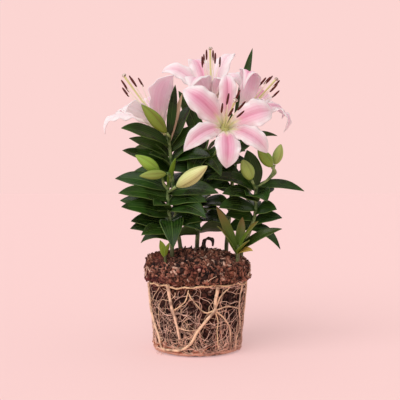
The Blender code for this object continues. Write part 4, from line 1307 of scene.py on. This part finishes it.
def buildPetals(name, skins):
    foot, axis = bloomAxis(name)
    sheets = newSheets()
    for number, petal in enumerate(blooms[name]["petals"]):
        laySheet(sheets, petalPlace(name, petal, number), petalShape, blooms[name]["tones"][number])
    markThroat(sheets)
    petals = sheetsPiece(
        "petals" + name.title(), sheets, petalShape["thickness"], skins["petalInner"], skins["petalOuter"])
    inner = addObject("inner", petals.data.copy())
    dots = grown("papillae" + name.title(), inner, scatterTree, Material=skins["papilla"], **papillae)
    low, top = foot - axis * flowerParts["cupDrop"], foot + axis * flowerParts["cupLength"]
    wide, narrow, steps = flowerParts["cupRadius"], flowerParts["cupFoot"], flowerParts["cupSteps"]
    places = [low.lerp(top, step / steps) for step in range(steps + 1)]
    radii = [narrow + (wide - narrow) * math.sin(step / steps * math.pi / 2) for step in range(steps + 1)]
    radii[-1] = wide * flowerParts["cupMouth"]
    cup = grown("cup" + name.title(), pathsObject([(places, radii)]), strandTree, Material=skins["cup"],
                **flowerGrowth["cup"])
    settle("petal", "bloom_" + name, petals, dots, cup)


def antherForm():
    # two lobes side by side with a groove between, slightly bent
    grain = roundShell(12, 8)
    for point in grain.verts:
        turn = math.atan2(point.co.y, point.co.x)
        lobe = 0.78 + 0.22 * abs(math.cos(turn)) - 0.16 * math.exp(-((math.cos(turn) / 0.35) ** 2))
        flat = math.hypot(point.co.x, point.co.y) ** 0.7 * flowerParts["antherRadius"] * lobe
        point.co.x, point.co.y = math.cos(turn) * flat, math.sin(turn) * flat * 0.85
        point.co.y += 0.0010 * point.co.z**2
        point.co.z *= flowerParts["antherLength"] / 2
    return skinned("antherForm", grain)


def stigmaForm():
    # three blunt lobes with furrows between
    knob = roundShell(24, 12)
    for point in knob.verts:
        turn = math.atan2(point.co.y, point.co.x)
        lobe = 1.0 + 0.20 * math.cos(3 * turn)
        furrow = 0.35 * math.exp(-(((1.0 - math.cos(3 * turn + math.pi)) / 0.5) ** 2)) * max(point.co.z, 0.0)
        point.co.x *= flowerParts["stigmaRadius"] * lobe
        point.co.y *= flowerParts["stigmaRadius"] * lobe
        point.co.z = (point.co.z - furrow) * flowerParts["stigmaHeight"]
    return skinned("stigmaForm", knob)


def aimedPoints(spots):
    # a mesh of bare points, each with the direction that its form takes
    mesh = bpy.data.meshes.new("spots")
    mesh.from_pydata([place for place, aim in spots], [], [])
    aims = mesh.attributes.new("aim", "FLOAT_VECTOR", "POINT")
    for index, (place, aim) in enumerate(spots):
        aims.data[index].vector = aim
    return addObject("spots", mesh)


def buildStamens(name, skins, anther, stigma):
    foot, axis = bloomAxis(name)
    lean, aim = Vector(blooms[name]["stamenLean"]), blooms[name].get("antherAim")
    side = axis.orthogonal().normalized()
    filaments, anthers = [], []
    for number in range(flowerParts["stamens"]):
        turn = number * math.pi / 3 + flowerParts["stamenTurn"]
        out = Matrix.Rotation(turn, 3, axis) @ side
        start = foot + axis * flowerParts["stamenFoot"] + out * 0.0008
        reach = flowerParts["stamenReach"] - flowerParts["stamenStep"] * (number % 3)
        end = foot + axis * reach + out * (flowerParts["stamenSpread"] + 0.003 * (number % 2)) + lean
        middle = start.lerp(end, 0.5) + out * -0.0016
        places = smoothRoute([start, middle, end], 8)
        filaments.append((places, tapered(places, flowerParts["filamentRadius"], 0.55, 1.15)))
        tilt = (end - foot).normalized() * 0.4
        anthers.append((end, (Vector(aim) + out * 0.35 if aim else axis + tilt).normalized()))
    end = foot + axis * flowerParts["styleReach"] + lean * 1.3
    places = smoothRoute([
        foot + axis * flowerParts["styleFoot"], foot.lerp(end, 0.5) + side * 0.0010, end - axis * 0.0006,
    ], 8)
    radii = swollen(places, flowerParts["styleRadius"], 0.35, 4, 0.95)
    radii[0] = radii[1] = flowerParts["styleFootRadius"]
    parts = (
        ("filaments", "filament", pathsObject(filaments), strandTree, {}),
        ("style", "style", pathsObject([(places, radii)]), strandTree, {}),
        ("anthers", "anther", aimedPoints(anthers), seedTree, {"Form": anther}),
        ("stigma", "stigma", aimedPoints([(end, axis)]), seedTree, {"Form": stigma}),
    )
    for part, skin, source, tree, form in parts:
        piece = grown(part + name.title(), source, tree, Material=skins[skin], **form, **flowerGrowth[part])
        settle("stamen", "stamens_" + name, piece)


# Buds: where the foot and the tip lie, how thick, how pointed and how ripe the bud is,
# and how brown along its seams and between them

buds = {
    "bud_olive": ((-0.0450, -0.030, 0.320), (-0.0810, -0.042, 0.3605), 0.0191, 0.85, 0.10, 0.90, 0.50),
    "bud_green": ((-0.0540, -0.050, 0.263), (-0.0880, -0.058, 0.2870), 0.0175, 0.80, 0.12, 0.35, 0.00),
    "bud_low": ((-0.0440, -0.056, 0.2605), (-0.0810, -0.074, 0.2570), 0.0135, 0.80, 0.24, 0.60, 0.40),
    "bud_yellow": ((-0.0300, -0.064, 0.2420), (0.0140, -0.082, 0.2710), 0.0205, 0.78, 0.95, 0.60, 0.04),
    "bud_right_low": ((0.0785, -0.030, 0.2520), (0.0645, -0.038, 0.2810), 0.0190, 0.66, 0.30, 0.35, 0.00),
    "bud_right_mid": ((0.1095, -0.020, 0.2710), (0.0880, -0.028, 0.2970), 0.0175, 0.72, 0.12, 0.45, 0.25),
    "bud_right_high": ((0.1150, -0.002, 0.2750), (0.1243, -0.006, 0.3055), 0.0150, 0.66, 0.40, 0.35, 0.00),
}
budShape = {
    "rows": 34,
    "columns": 42,
    "ridge": 0.07,
    "furrow": 0.085,
    "furrowWidth": 0.16,
    "twist": 0.18,
    "weld": 0.000005,
}


def buildBud(name, skin):
    foot, tip, thick, pointed, ripeness, stripe, between = buds[name]
    foot, tip = Vector(foot), Vector(tip)
    length = (tip - foot).length
    turned = Matrix.Translation(foot) @ up.rotation_difference((tip - foot).normalized()).to_matrix().to_4x4()
    shell = newSheets()
    groove = shell.verts.layers.float.new("groove")
    tone = shell.verts.layers.float["tone"]
    for point, u, v in layGrid(shell, budShape):
        angle = math.pi * v
        swell = max(math.sin(math.pi * u**0.86), 0.0) ** pointed
        ridge = math.cos(3 * angle)
        seam = math.exp(-(((1.0 + ridge) / budShape["furrowWidth"]) ** 2)) * smoothStep(0.06, 0.25, u)
        bulge = 1.0 + budShape["ridge"] * ridge - budShape["furrow"] * seam
        bulge *= 1.0 + 0.02 * math.sin(9 * angle + u * 7.0)
        radius = thick / 2 * swell * bulge
        turn = angle + budShape["twist"] * u
        point.co = turned @ Vector((radius * math.cos(turn), radius * math.sin(turn), length * u))
        point[groove] = between + (stripe - between) * seam
        point[tone] = ripeness * (0.75 + 0.35 * u)
    bmesh.ops.remove_doubles(shell, verts=shell.verts, dist=budShape["weld"])
    settle("bud", name, skinned(name.replace("_", "") + "Skin", shell, skin))


# Stems. Each has the route of its stem, its side stalks (what a stalk carries, and points on the way there),
# leaves set one by one (height on the stem, tip, width, arch), and a spiral of further leaves
# (number, lowest, highest, length, rise at the bottom and at the top in degrees, turn).
# The two shoots have neither stalks nor a spiral.

stems = {
    "stem_left_front": {
        "radius": 0.0033,
        "route": (
            (-0.037, -0.035, 0.150), (-0.039, -0.035, 0.185), (-0.0425, -0.035, 0.217),
            (-0.0430, -0.036, 0.239),
        ),
        "stalks": (
            ("bud_green", ((-0.0430, -0.036, 0.236), (-0.0490, -0.040, 0.247))),
            ("bud_low", ((-0.0430, -0.036, 0.237), (-0.0390, -0.046, 0.252))),
            ("bud_yellow", ((-0.0430, -0.036, 0.234), (-0.0380, -0.050, 0.2365))),
        ),
        "leaves": (
            (0.238, (-0.120, -0.030, 0.254), 0.029, 0.002),
            (0.223, (-0.112, -0.058, 0.233), 0.028, 0.002),
            (0.209, (-0.113, -0.030, 0.222), 0.029, 0.000),
            (0.200, (-0.107, -0.066, 0.214), 0.032, 0.000),
            (0.184, (-0.095, -0.052, 0.193), 0.028, 0.002),
            (0.172, (-0.078, -0.078, 0.175), 0.024, 0.006),
            (0.163, (-0.083, -0.030, 0.160), 0.020, 0.014),
            (0.233, (0.030, -0.054, 0.233), 0.029, 0.002),
            (0.217, (0.013, -0.066, 0.221), 0.026, 0.004),
            (0.206, (0.012, -0.084, 0.199), 0.032, 0.012),
            (0.190, (0.006, -0.062, 0.180), 0.027, 0.010),
            (0.188, (-0.033, -0.100, 0.158), 0.034, 0.018),
            (0.240, (-0.031, -0.062, 0.283), 0.010, 0.000),
        ),
        "spiral": (7, 0.166, 0.228, 0.062, 4, 14, 1.0),
    },
    "stem_left_back": {
        "radius": 0.0033,
        "route": (
            (-0.026, 0.004, 0.150), (-0.034, 0.003, 0.205), (-0.0385, 0.001, 0.270),
            (-0.0430, -0.002, 0.312),
        ),
        "stalks": (
            ("left", ((-0.0425, -0.001, 0.305), (-0.0450, 0.002, 0.3125))),
            ("bud_olive", ((-0.0430, -0.002, 0.309), (-0.0405, -0.020, 0.3135))),
        ),
        "leaves": (
            (0.304, (-0.115, -0.026, 0.327), 0.032, 0.002),
            (0.288, (-0.103, 0.004, 0.315), 0.022, 0.000),
            (0.262, (-0.109, -0.032, 0.295), 0.034, 0.000),
            (0.276, (-0.096, 0.024, 0.302), 0.029, 0.002),
            (0.312, (-0.0365, -0.018, 0.398), 0.014, 0.000),
            (0.306, (-0.0225, 0.000, 0.3815), 0.009, 0.000),
            (0.268, (0.008, -0.004, 0.266), 0.028, 0.004),
            (0.244, (0.004, -0.020, 0.256), 0.028, 0.004),
            (0.250, (-0.102, 0.022, 0.262), 0.029, 0.004),
            (0.284, (0.020, -0.024, 0.286), 0.029, 0.002),
            (0.228, (0.024, -0.014, 0.240), 0.028, 0.004),
            (0.200, (0.014, -0.022, 0.204), 0.028, 0.004),
            (0.302, (-0.0100, 0.0100, 0.366), 0.026, 0.000),
            (0.294, (0.0060, 0.0080, 0.334), 0.027, 0.002),
        ),
        "spiral": (9, 0.172, 0.296, 0.066, 2, 34, 2.2),
    },
    "stem_centre": {
        "radius": 0.0035,
        "route": (
            (-0.001, 0.030, 0.150), (0.002, 0.030, 0.200), (0.006, 0.028, 0.250), (0.012, 0.026, 0.300),
        ),
        "stalks": (
            ("top", ((0.0120, 0.026, 0.297), (0.0175, 0.0285, 0.322), (0.0190, 0.0290, 0.342))),
            ("front", ((0.0100, 0.027, 0.272), (0.0220, 0.008, 0.284), (0.0298, -0.0132, 0.3000))),
        ),
        "leaves": (
            (0.296, (-0.029, 0.020, 0.388), 0.024, 0.000),
            (0.252, (0.008, -0.050, 0.246), 0.032, 0.008),
            (0.284, (-0.014, -0.040, 0.262), 0.029, 0.016),
            (0.280, (0.034, -0.036, 0.258), 0.029, 0.014),
            (0.262, (0.058, -0.010, 0.262), 0.027, 0.008),
            (0.288, (0.072, 0.006, 0.296), 0.026, 0.004),
            (0.278, (0.066, 0.000, 0.278), 0.027, 0.004),
            (0.292, (-0.032, -0.008, 0.302), 0.027, 0.004),
            (0.268, (-0.040, -0.006, 0.280), 0.027, 0.004),
            (0.236, (0.050, -0.018, 0.240), 0.028, 0.006),
            (0.270, (-0.052, 0.034, 0.268), 0.028, 0.004),
            (0.240, (-0.050, 0.026, 0.242), 0.028, 0.004),
            (0.216, (-0.020, -0.026, 0.224), 0.028, 0.004),
            (0.212, (0.048, -0.022, 0.214), 0.028, 0.004),
            (0.190, (0.040, -0.024, 0.188), 0.028, 0.006),
            (0.186, (-0.018, -0.028, 0.184), 0.026, 0.006),
            (0.272, (0.0780, 0.0200, 0.280), 0.028, 0.004),
        ),
        "spiral": (9, 0.172, 0.288, 0.066, 0, 36, 0.4),
    },
    "stem_right": {
        "radius": 0.0031,
        "route": (
            (0.066, 0.004, 0.146), (0.0755, 0.001, 0.168), (0.0838, -0.004, 0.192), (0.0872, -0.005, 0.212),
            (0.0864, -0.005, 0.229), (0.0885, -0.004, 0.244),
        ),
        "stalks": (
            ("bud_right_low", ((0.0868, -0.005, 0.236), (0.0840, -0.020, 0.241))),
            ("bud_right_high", ((0.0885, -0.004, 0.241), (0.1030, -0.004, 0.251), (0.1125, -0.001, 0.263))),
            ("bud_right_mid", ((0.1030, -0.004, 0.251), (0.1150, -0.014, 0.262))),
        ),
        "leaves": (
            (0.243, (0.1595, -0.004, 0.2355), 0.018, 0.003),
            (0.240, (0.073, -0.016, 0.296), 0.028, 0.000),
            (0.226, (0.100, -0.046, 0.221), 0.029, 0.008),
            (0.236, (0.014, -0.020, 0.254), 0.023, 0.008),
            (0.222, (0.036, -0.036, 0.232), 0.027, 0.004),
            (0.208, (0.031, -0.042, 0.212), 0.029, 0.002),
            (0.186, (0.125, -0.016, 0.196), 0.022, 0.004),
            (0.176, (0.122, -0.022, 0.150), 0.017, 0.014),
        ),
        "spiral": (7, 0.184, 0.238, 0.045, 6, 20, 0.9),
    },
    "stem_right_back": {
        "radius": 0.0033,
        "route": (
            (0.045, 0.045, 0.150), (0.050, 0.044, 0.200), (0.054, 0.042, 0.250), (0.056, 0.040, 0.296),
            (0.056, 0.038, 0.318),
        ),
        "stalks": (
            ("right", ((0.0560, 0.038, 0.316), (0.0510, 0.032, 0.328), (0.0520, 0.0256, 0.3343))),
        ),
        "leaves": (
            (0.318, (0.0890, 0.090, 0.4665), 0.015, 0.000),
            (0.306, (0.122, 0.024, 0.320), 0.014, 0.006),
            (0.314, (0.042, -0.002, 0.372), 0.020, 0.000),
        ),
        "spiral": (10, 0.176, 0.306, 0.064, 2, 40, 0.0),
    },
    "shoot_right": {
        "radius": 0.0030,
        "route": ((0.058, -0.041, 0.140), (0.059, -0.042, 0.158)),
        "leaves": (
            (0.143, (0.027, -0.047, 0.213), 0.014, 0.000),
            (0.144, (0.028, -0.060, 0.187), 0.012, 0.000),
            (0.152, (0.086, -0.058, 0.193), 0.021, 0.000),
            (0.150, (0.121, -0.050, 0.182), 0.016, 0.002),
            (0.146, (0.073, -0.070, 0.167), 0.017, 0.000),
            (0.149, (0.066, -0.028, 0.198), 0.014, 0.000),
            (0.145, (0.078, -0.064, 0.152), 0.011, 0.002),
        ),
    },
    "shoot_left": {
        "radius": 0.0022,
        "route": ((-0.046, -0.052, 0.140), (-0.046, -0.052, 0.148)),
        "leaves": (
            (0.140, (-0.053, -0.058, 0.166), 0.010, 0.000),
            (0.142, (-0.040, -0.061, 0.163), 0.009, 0.000),
        ),
    },
}
leafyOrder = (
    "shoot_right", "shoot_left", "stem_left_front", "stem_right",
    "stem_left_back", "stem_centre", "stem_right_back",
)
# ways to bend a leaf clear of its neighbours: turn and lift in degrees, then a share of its length
leafBends = (
    (0, 0, 1.0), (9, 0, 1.0), (-9, 0, 1.0), (0, 9, 1.0), (18, 4, 1.0), (-18, 4, 1.0), (0, -9, 0.95),
    (9, 16, 0.9), (-9, 16, 0.9), (30, 0, 0.9), (-30, 0, 0.9), (0, 26, 0.85), (24, -12, 0.8),
    (-24, -12, 0.8), (45, 10, 0.75), (-45, 10, 0.75), (70, 14, 0.7), (-70, 14, 0.7), (0, 40, 0.65),
    (100, 16, 0.6), (-100, 16, 0.6),
)
leafShape = {
    "rows": 26,
    "columns": 10,
    "thickness": 0.0009,
    "fold": 0.30,           # height of the edges, as a share of the half width
    "roll": 1.25,           # how far the upper face looks outwards
    "rise": 0.08,           # arch, as a share of the length
    "waviness": 0.10,
    "waves": 9.0,           # radians of the wave along the leaf
    "veinRelief": 0.00025,
    "spiralWidth": 0.0275,  # of the lowest leaf of a spiral
    "spiralTaper": 0.004,   # how much narrower the highest one is
    "spiralArch": 0.004,
    "toneSeed": 21,
}
stemShape = {
    "gap": 0.0003,
    "holeDepth": 0.024,
    "taper": 0.22,
    "stalkRadius": 0.0019,
    "stalkSwell": 0.25,     # under the bloom or the bud
    "clear": 0.0010,        # between two leaves
    "stalkClear": 0.0006,
}
stemStrand = {"Spacing": 0.0018, "Sides": 14, "Swell": 0.14, "Swell_Scale": 90.0, "Seed": 6}


def seatOf(target):
    # the end point and direction of the stalk that carries a bloom or a bud
    if target in blooms:
        foot, axis = bloomAxis(target)
        return foot - axis * (flowerParts["cupDrop"] + stemShape["gap"]), axis
    foot, tip = Vector(buds[target][0]), Vector(buds[target][1])
    axis = (tip - foot).normalized()
    return foot - axis * stemShape["gap"], axis


def stemLine(name):
    data = stems[name]
    x, y = data["route"][0][:2]
    root = soilTop(x, y) - stemShape["holeDepth"] + stemShape["gap"]
    return [Vector((x, y, root))] + smoothRoute(data["route"], 2)


def stalkLine(target, points):
    end, axis = seatOf(target)
    inner = [Vector(p) for p in points]
    return smoothRoute(inner + [end - axis * 0.0035], 2) + [end]


def stalkSamples(name):
    data = stems[name]
    lines = [(stemLine(name), data["radius"])]
    for target, points in data.get("stalks", ()):
        lines.append((stalkLine(target, points), stemShape["stalkRadius"]))
    found = []
    for line, radius in lines:
        for a, b in zip(line, line[1:]):
            steps = max(1, round((b - a).length / 0.002))
            found += [(a.lerp(b, step / steps), radius) for step in range(steps)]
        found.append((line[-1], radius))
    return found


def heightPoint(line, height):
    for a, b in zip(line, line[1:]):
        if a.z <= height <= b.z:
            return a.lerp(b, (height - a.z) / (b.z - a.z))
    return line[-1] if height > line[-1].z else line[0]


def leafWidth(u):
    # share of the greatest half width
    if u < 0.42:
        rise = u / 0.42
        return 0.15 + 0.85 * rise * (2.0 - rise)
    return 1.0 - ((u - 0.42) / 0.58) ** 1.9


def leafSide(span):
    # level, then rolled so that the upper face looks outwards from the plant
    flat = Vector((span.x, span.y, 0.0))
    if flat.length > 0.45 * span.length:
        side = flat.cross(up).normalized()
        outward = 1.0 if span.y < 0.35 * flat.length else -1.0
        side += up * (leafShape["roll"] * side.y * outward)
    else:
        side = Vector((1.0, 0.25, 0.0))
    ahead = span.normalized()
    return (side - ahead * side.dot(ahead)).normalized()


def leafPlace(root, tip, width, arch):
    # plain for the search of a clear place, or with its waves for the leaf itself
    span = tip - root
    side = leafSide(span)
    rise = up * (arch + leafShape["rise"] * span.length)
    line = (root, root + span * 0.30 + rise, root + span * 0.72 + rise * 0.9, tip)
    phase = 40.0 * tip.x + 90.0 * tip.z

    def place(u, v, shift=0.0, fine=False):
        along = bezierTangent(line, u)
        above = side.cross(along).normalized()
        half = width / 2 * leafWidth(u)
        raised = half * leafShape["fold"] * abs(v)
        if fine:
            middle = math.sin(math.pi * u)
            raised = half * leafShape["fold"] * (math.hypot(v, 0.10) - 0.10)
            ripple = math.sin(u * leafShape["waves"] + phase + v)
            raised += half * leafShape["waviness"] * ripple * v * v * middle
            raised += leafShape["veinRelief"] * math.cos(v * 5.0 * math.pi) * middle
        return bezier(line, u) + side * (half * v) + above * (raised + shift)

    return place


def bentTip(root, tip, turn, lift, share):
    span = Matrix.Rotation(math.radians(turn), 3, up) @ (tip - root)
    flat = Vector((span.x, span.y, 0.0))
    if flat.length > 1e-4:
        span = Matrix.Rotation(math.radians(lift), 3, flat.cross(up).normalized()) @ span
    return root + span * share


def wantedLeaves(name):
    # root, tip, width and arch of each leaf of a stem, before any is bent clear
    data = stems[name]
    line = stemLine(name)
    shown = [
        (heightPoint(line, height), Vector(tip), width, arch) for height, tip, width, arch in data["leaves"]
    ]
    spiral = []
    count, low, high, length, riseLow, riseHigh, turn = data.get("spiral", (0,) * 7)
    for number in range(count):
        share = number / (count - 1)
        angle = turn + goldenTurn * number
        rise = math.radians(riseLow + (riseHigh - riseLow) * share)
        reach = length * (1.0 - 0.25 * share * share) * (0.92 + 0.08 * math.sin(number * 2.4))
        ahead = Vector((math.cos(angle) * math.cos(rise), math.sin(angle) * math.cos(rise), math.sin(rise)))
        root = heightPoint(line, low + (high - low) * share)
        width = leafShape["spiralWidth"] - leafShape["spiralTaper"] * share
        spiral.append((root, root + ahead * reach, width, leafShape["spiralArch"]))
    return shown, spiral


def sheetTree(place):
    # search tree of a leaf and of two copies of it, one on each side at the clearance
    points, faces = [], []
    rows, across = (0.0, 0.24, 0.52, 0.79, 1.0), (-1.0, 0.0, 1.0)
    for shift in (-stemShape["clear"], 0.0, stemShape["clear"]):
        first = len(points)
        for u in rows:
            points += [place(u, v, shift) for v in across]
        for row in range(len(rows) - 1):
            for column in range(2):
                a = first + row * 3 + column
                b = a + 3
                faces += [(a, a + 1, b + 1), (a, b + 1, b)]
    return BVHTree.FromPolygons(points, faces)


def clearTree(place, name, obstacles, samples):
    # search tree of a leaf in this place, if it is clear of the other pieces and stems there
    tree = sheetTree(place)
    if any(tree.overlap(other) for owner, other in obstacles if owner != name):
        return None
    for owner, points in samples.items():
        if owner == name:
            continue
        for point, radius in points:
            if tree.find_nearest(point, radius + stemShape["stalkClear"])[0] is not None:
                return None
    return tree


def settledLeaves(obstacles):
    # each leaf in the first of the bends that leaves it clear of all other pieces
    samples = {name: stalkSamples(name) for name in stems}
    wanted = {name: wantedLeaves(name) for name in stems}
    settled = {name: [] for name in stems}
    for kind in (0, 1):
        for name in leafyOrder:
            for number, (root, tip, width, arch) in enumerate(wanted[name][kind]):
                for turn, lift, share in leafBends:
                    place = leafPlace(root, bentTip(root, tip, turn, lift, share), width, arch)
                    tree = clearTree(place, name, obstacles, samples)
                    if tree is not None:
                        obstacles.append((name, tree))
                        settled[name].append((place, kind, number))
                        break
    return settled


def nodeTree(name):
    # search tree of a CAD node
    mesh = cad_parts[name].data
    faces = [tuple(face.vertices) for face in mesh.polygons]
    return BVHTree.FromPolygons([point.co for point in mesh.vertices], faces)


def leafTone(name, kind, number, draw):
    # 0 is a mature leaf, 0.6 a young one, 1 a yellow one and 1.2 a dry one
    if name == "shoot_right":
        return {2: 0.30, 3: 0.12, 4: 0.38, 6: 1.0}.get(number, 0.20) if kind == 0 else 0.3
    if name == "shoot_left":
        return 0.76
    if name == "stem_left_back" and kind == 0 and number == 5:
        return 1.16
    if name == "stem_left_front" and kind == 0 and number == 12:
        return 0.60
    return 0.10 * draw.random()


def buildStem(name, leaves, skins, draw):
    title = "".join(word.title() for word in name.split("_"))
    data = stems[name]
    sheets = newSheets()
    for place, kind, number in leaves:
        laySheet(sheets, lambda u, v: place(u, v, 0.0, True), leafShape, leafTone(name, kind, number, draw))
    blades = sheetsPiece(
        "leaves" + title, sheets, leafShape["thickness"], skins["leafUpper"], skins["leafUnder"])
    line = smoothRoute(stemLine(name), 4)
    lines = [(line, tapered(line, data["radius"], stemShape["taper"]))]
    for target, points in data.get("stalks", ()):
        stalk = smoothRoute(stalkLine(target, points), 4)
        lines.append((stalk, swollen(stalk, stemShape["stalkRadius"], stemShape["stalkSwell"], 6)))
    stalks = grown("stalks" + title, pathsObject(lines), strandTree, Material=skins["stem"], **stemStrand)
    settle("shoot" if name.startswith("shoot") else "leaf", name, blades, stalks)


# Dry leaf: a curled scrap on the soil behind the middle

dryLeaf = {
    "rows": 30,
    "columns": 10,
    "thickness": 0.0009,
    "width": 0.0145,
    "start": (0.012, 0.006, 0.1535),
    "curl": ((-0.012, 0.0, 0.020), (0.016, -0.002, 0.022), (0.011, -0.002, 0.004)),
    "crinkle": 0.0006,
    "edgeLift": 0.0011,
    "clear": 0.0004,
}


def buildDryLeaf(skin):
    start = Vector(dryLeaf["start"])
    line = (start, *[start + Vector(step) for step in dryLeaf["curl"]])

    def place(u, v):
        across = Vector((0.45 + 0.4 * u, 0.80, 0.45 - 0.5 * u)).normalized()
        half = dryLeaf["width"] / 2 * math.sin(math.pi * (0.12 + 0.88 * u))
        above = across.cross(bezierTangent(line, u)).normalized()
        crinkle = dryLeaf["crinkle"] * math.sin(u * 19.0 + v * 4.0) + dryLeaf["edgeLift"] * v * v
        return bezier(line, u) + across * (half * v) + above * crinkle

    sheets = newSheets()
    laySheet(sheets, place, dryLeaf, 0.5)
    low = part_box("dry_leaf")[0][2] + dryLeaf["clear"]
    drop = min(point.co.z for point in sheets.verts) - low
    for point in sheets.verts:
        point.co.z -= drop
    settle("dry", "dry_leaf", sheetsPiece("dryCurl", sheets, dryLeaf["thickness"], skin))


# The whole plant

def plantSkins():
    # the finishes that several pieces share
    return {
        "petalInner": petalMaterial("petalInner", True),
        "petalOuter": petalMaterial("petalOuter", False),
        "papilla": powderMaterial("papillaTip", petalPaint["deep"], petalPaint["pink"], 600.0),
        # the cup takes the nectar colour, painted lighter against the throat's shade
        "cup": powderMaterial("cupSkin", petalPaint["nectar"], petalPaint["keel"], 200.0),
        "filament": strandMaterial("filamentSkin", stamenPaint["filament"], stamenPaint["filamentTop"], 0.45),
        "style": strandMaterial("styleSkin", stamenPaint["filament"], stamenPaint["style"], 0.42),
        "anther": powderMaterial("antherDust", stamenPaint["anther"], stamenPaint["pollen"], 900.0),
        "stigma": powderMaterial("stigmaSkin", stamenPaint["stigma"], stamenPaint["filamentTop"], 700.0),
        "leafUpper": leafMaterial("leafUpper", True),
        "leafUnder": leafMaterial("leafUnder", False),
        "stem": stemMaterial(),
    }


def buildPlant():
    noise.seed_set(rootWeb["noiseSeed"])
    setCamera()
    setStudio()
    print("camera and studio are set")
    barkSkin, rootSkin = soilMaterial(), rootMaterial()
    buildSoil(barkSkin)
    print("soil is laid")
    buildRoots(rootSkin)
    print("roots are laid")
    skins = plantSkins()
    for name in blooms:
        buildPetals(name, skins)
    print("petals are open")
    anther, stigma = antherForm(), stigmaForm()
    for name in blooms:
        buildStamens(name, skins, anther, stigma)
    for form in (anther, stigma):
        bpy.data.objects.remove(form, do_unlink=True)
    print("stamens stand")
    budSkin = budMaterial()
    for name in buds:
        buildBud(name, budSkin)
    print("buds are on")
    solids = ["soil_ball", "dry_leaf"]
    for name in blooms:
        solids += ["bloom_" + name, "stamens_" + name]
    settled = settledLeaves([(name, nodeTree(name)) for name in [*solids, *buds]])
    draw = random.Random(leafShape["toneSeed"])
    for name in stems:
        buildStem(name, settled[name], skins, draw)
    print("stems and leaves are up")
    buildDryLeaf(powderMaterial("dryLeafSkin", dryPaint["dark"], dryPaint["light"], 240.0))


buildPlant()
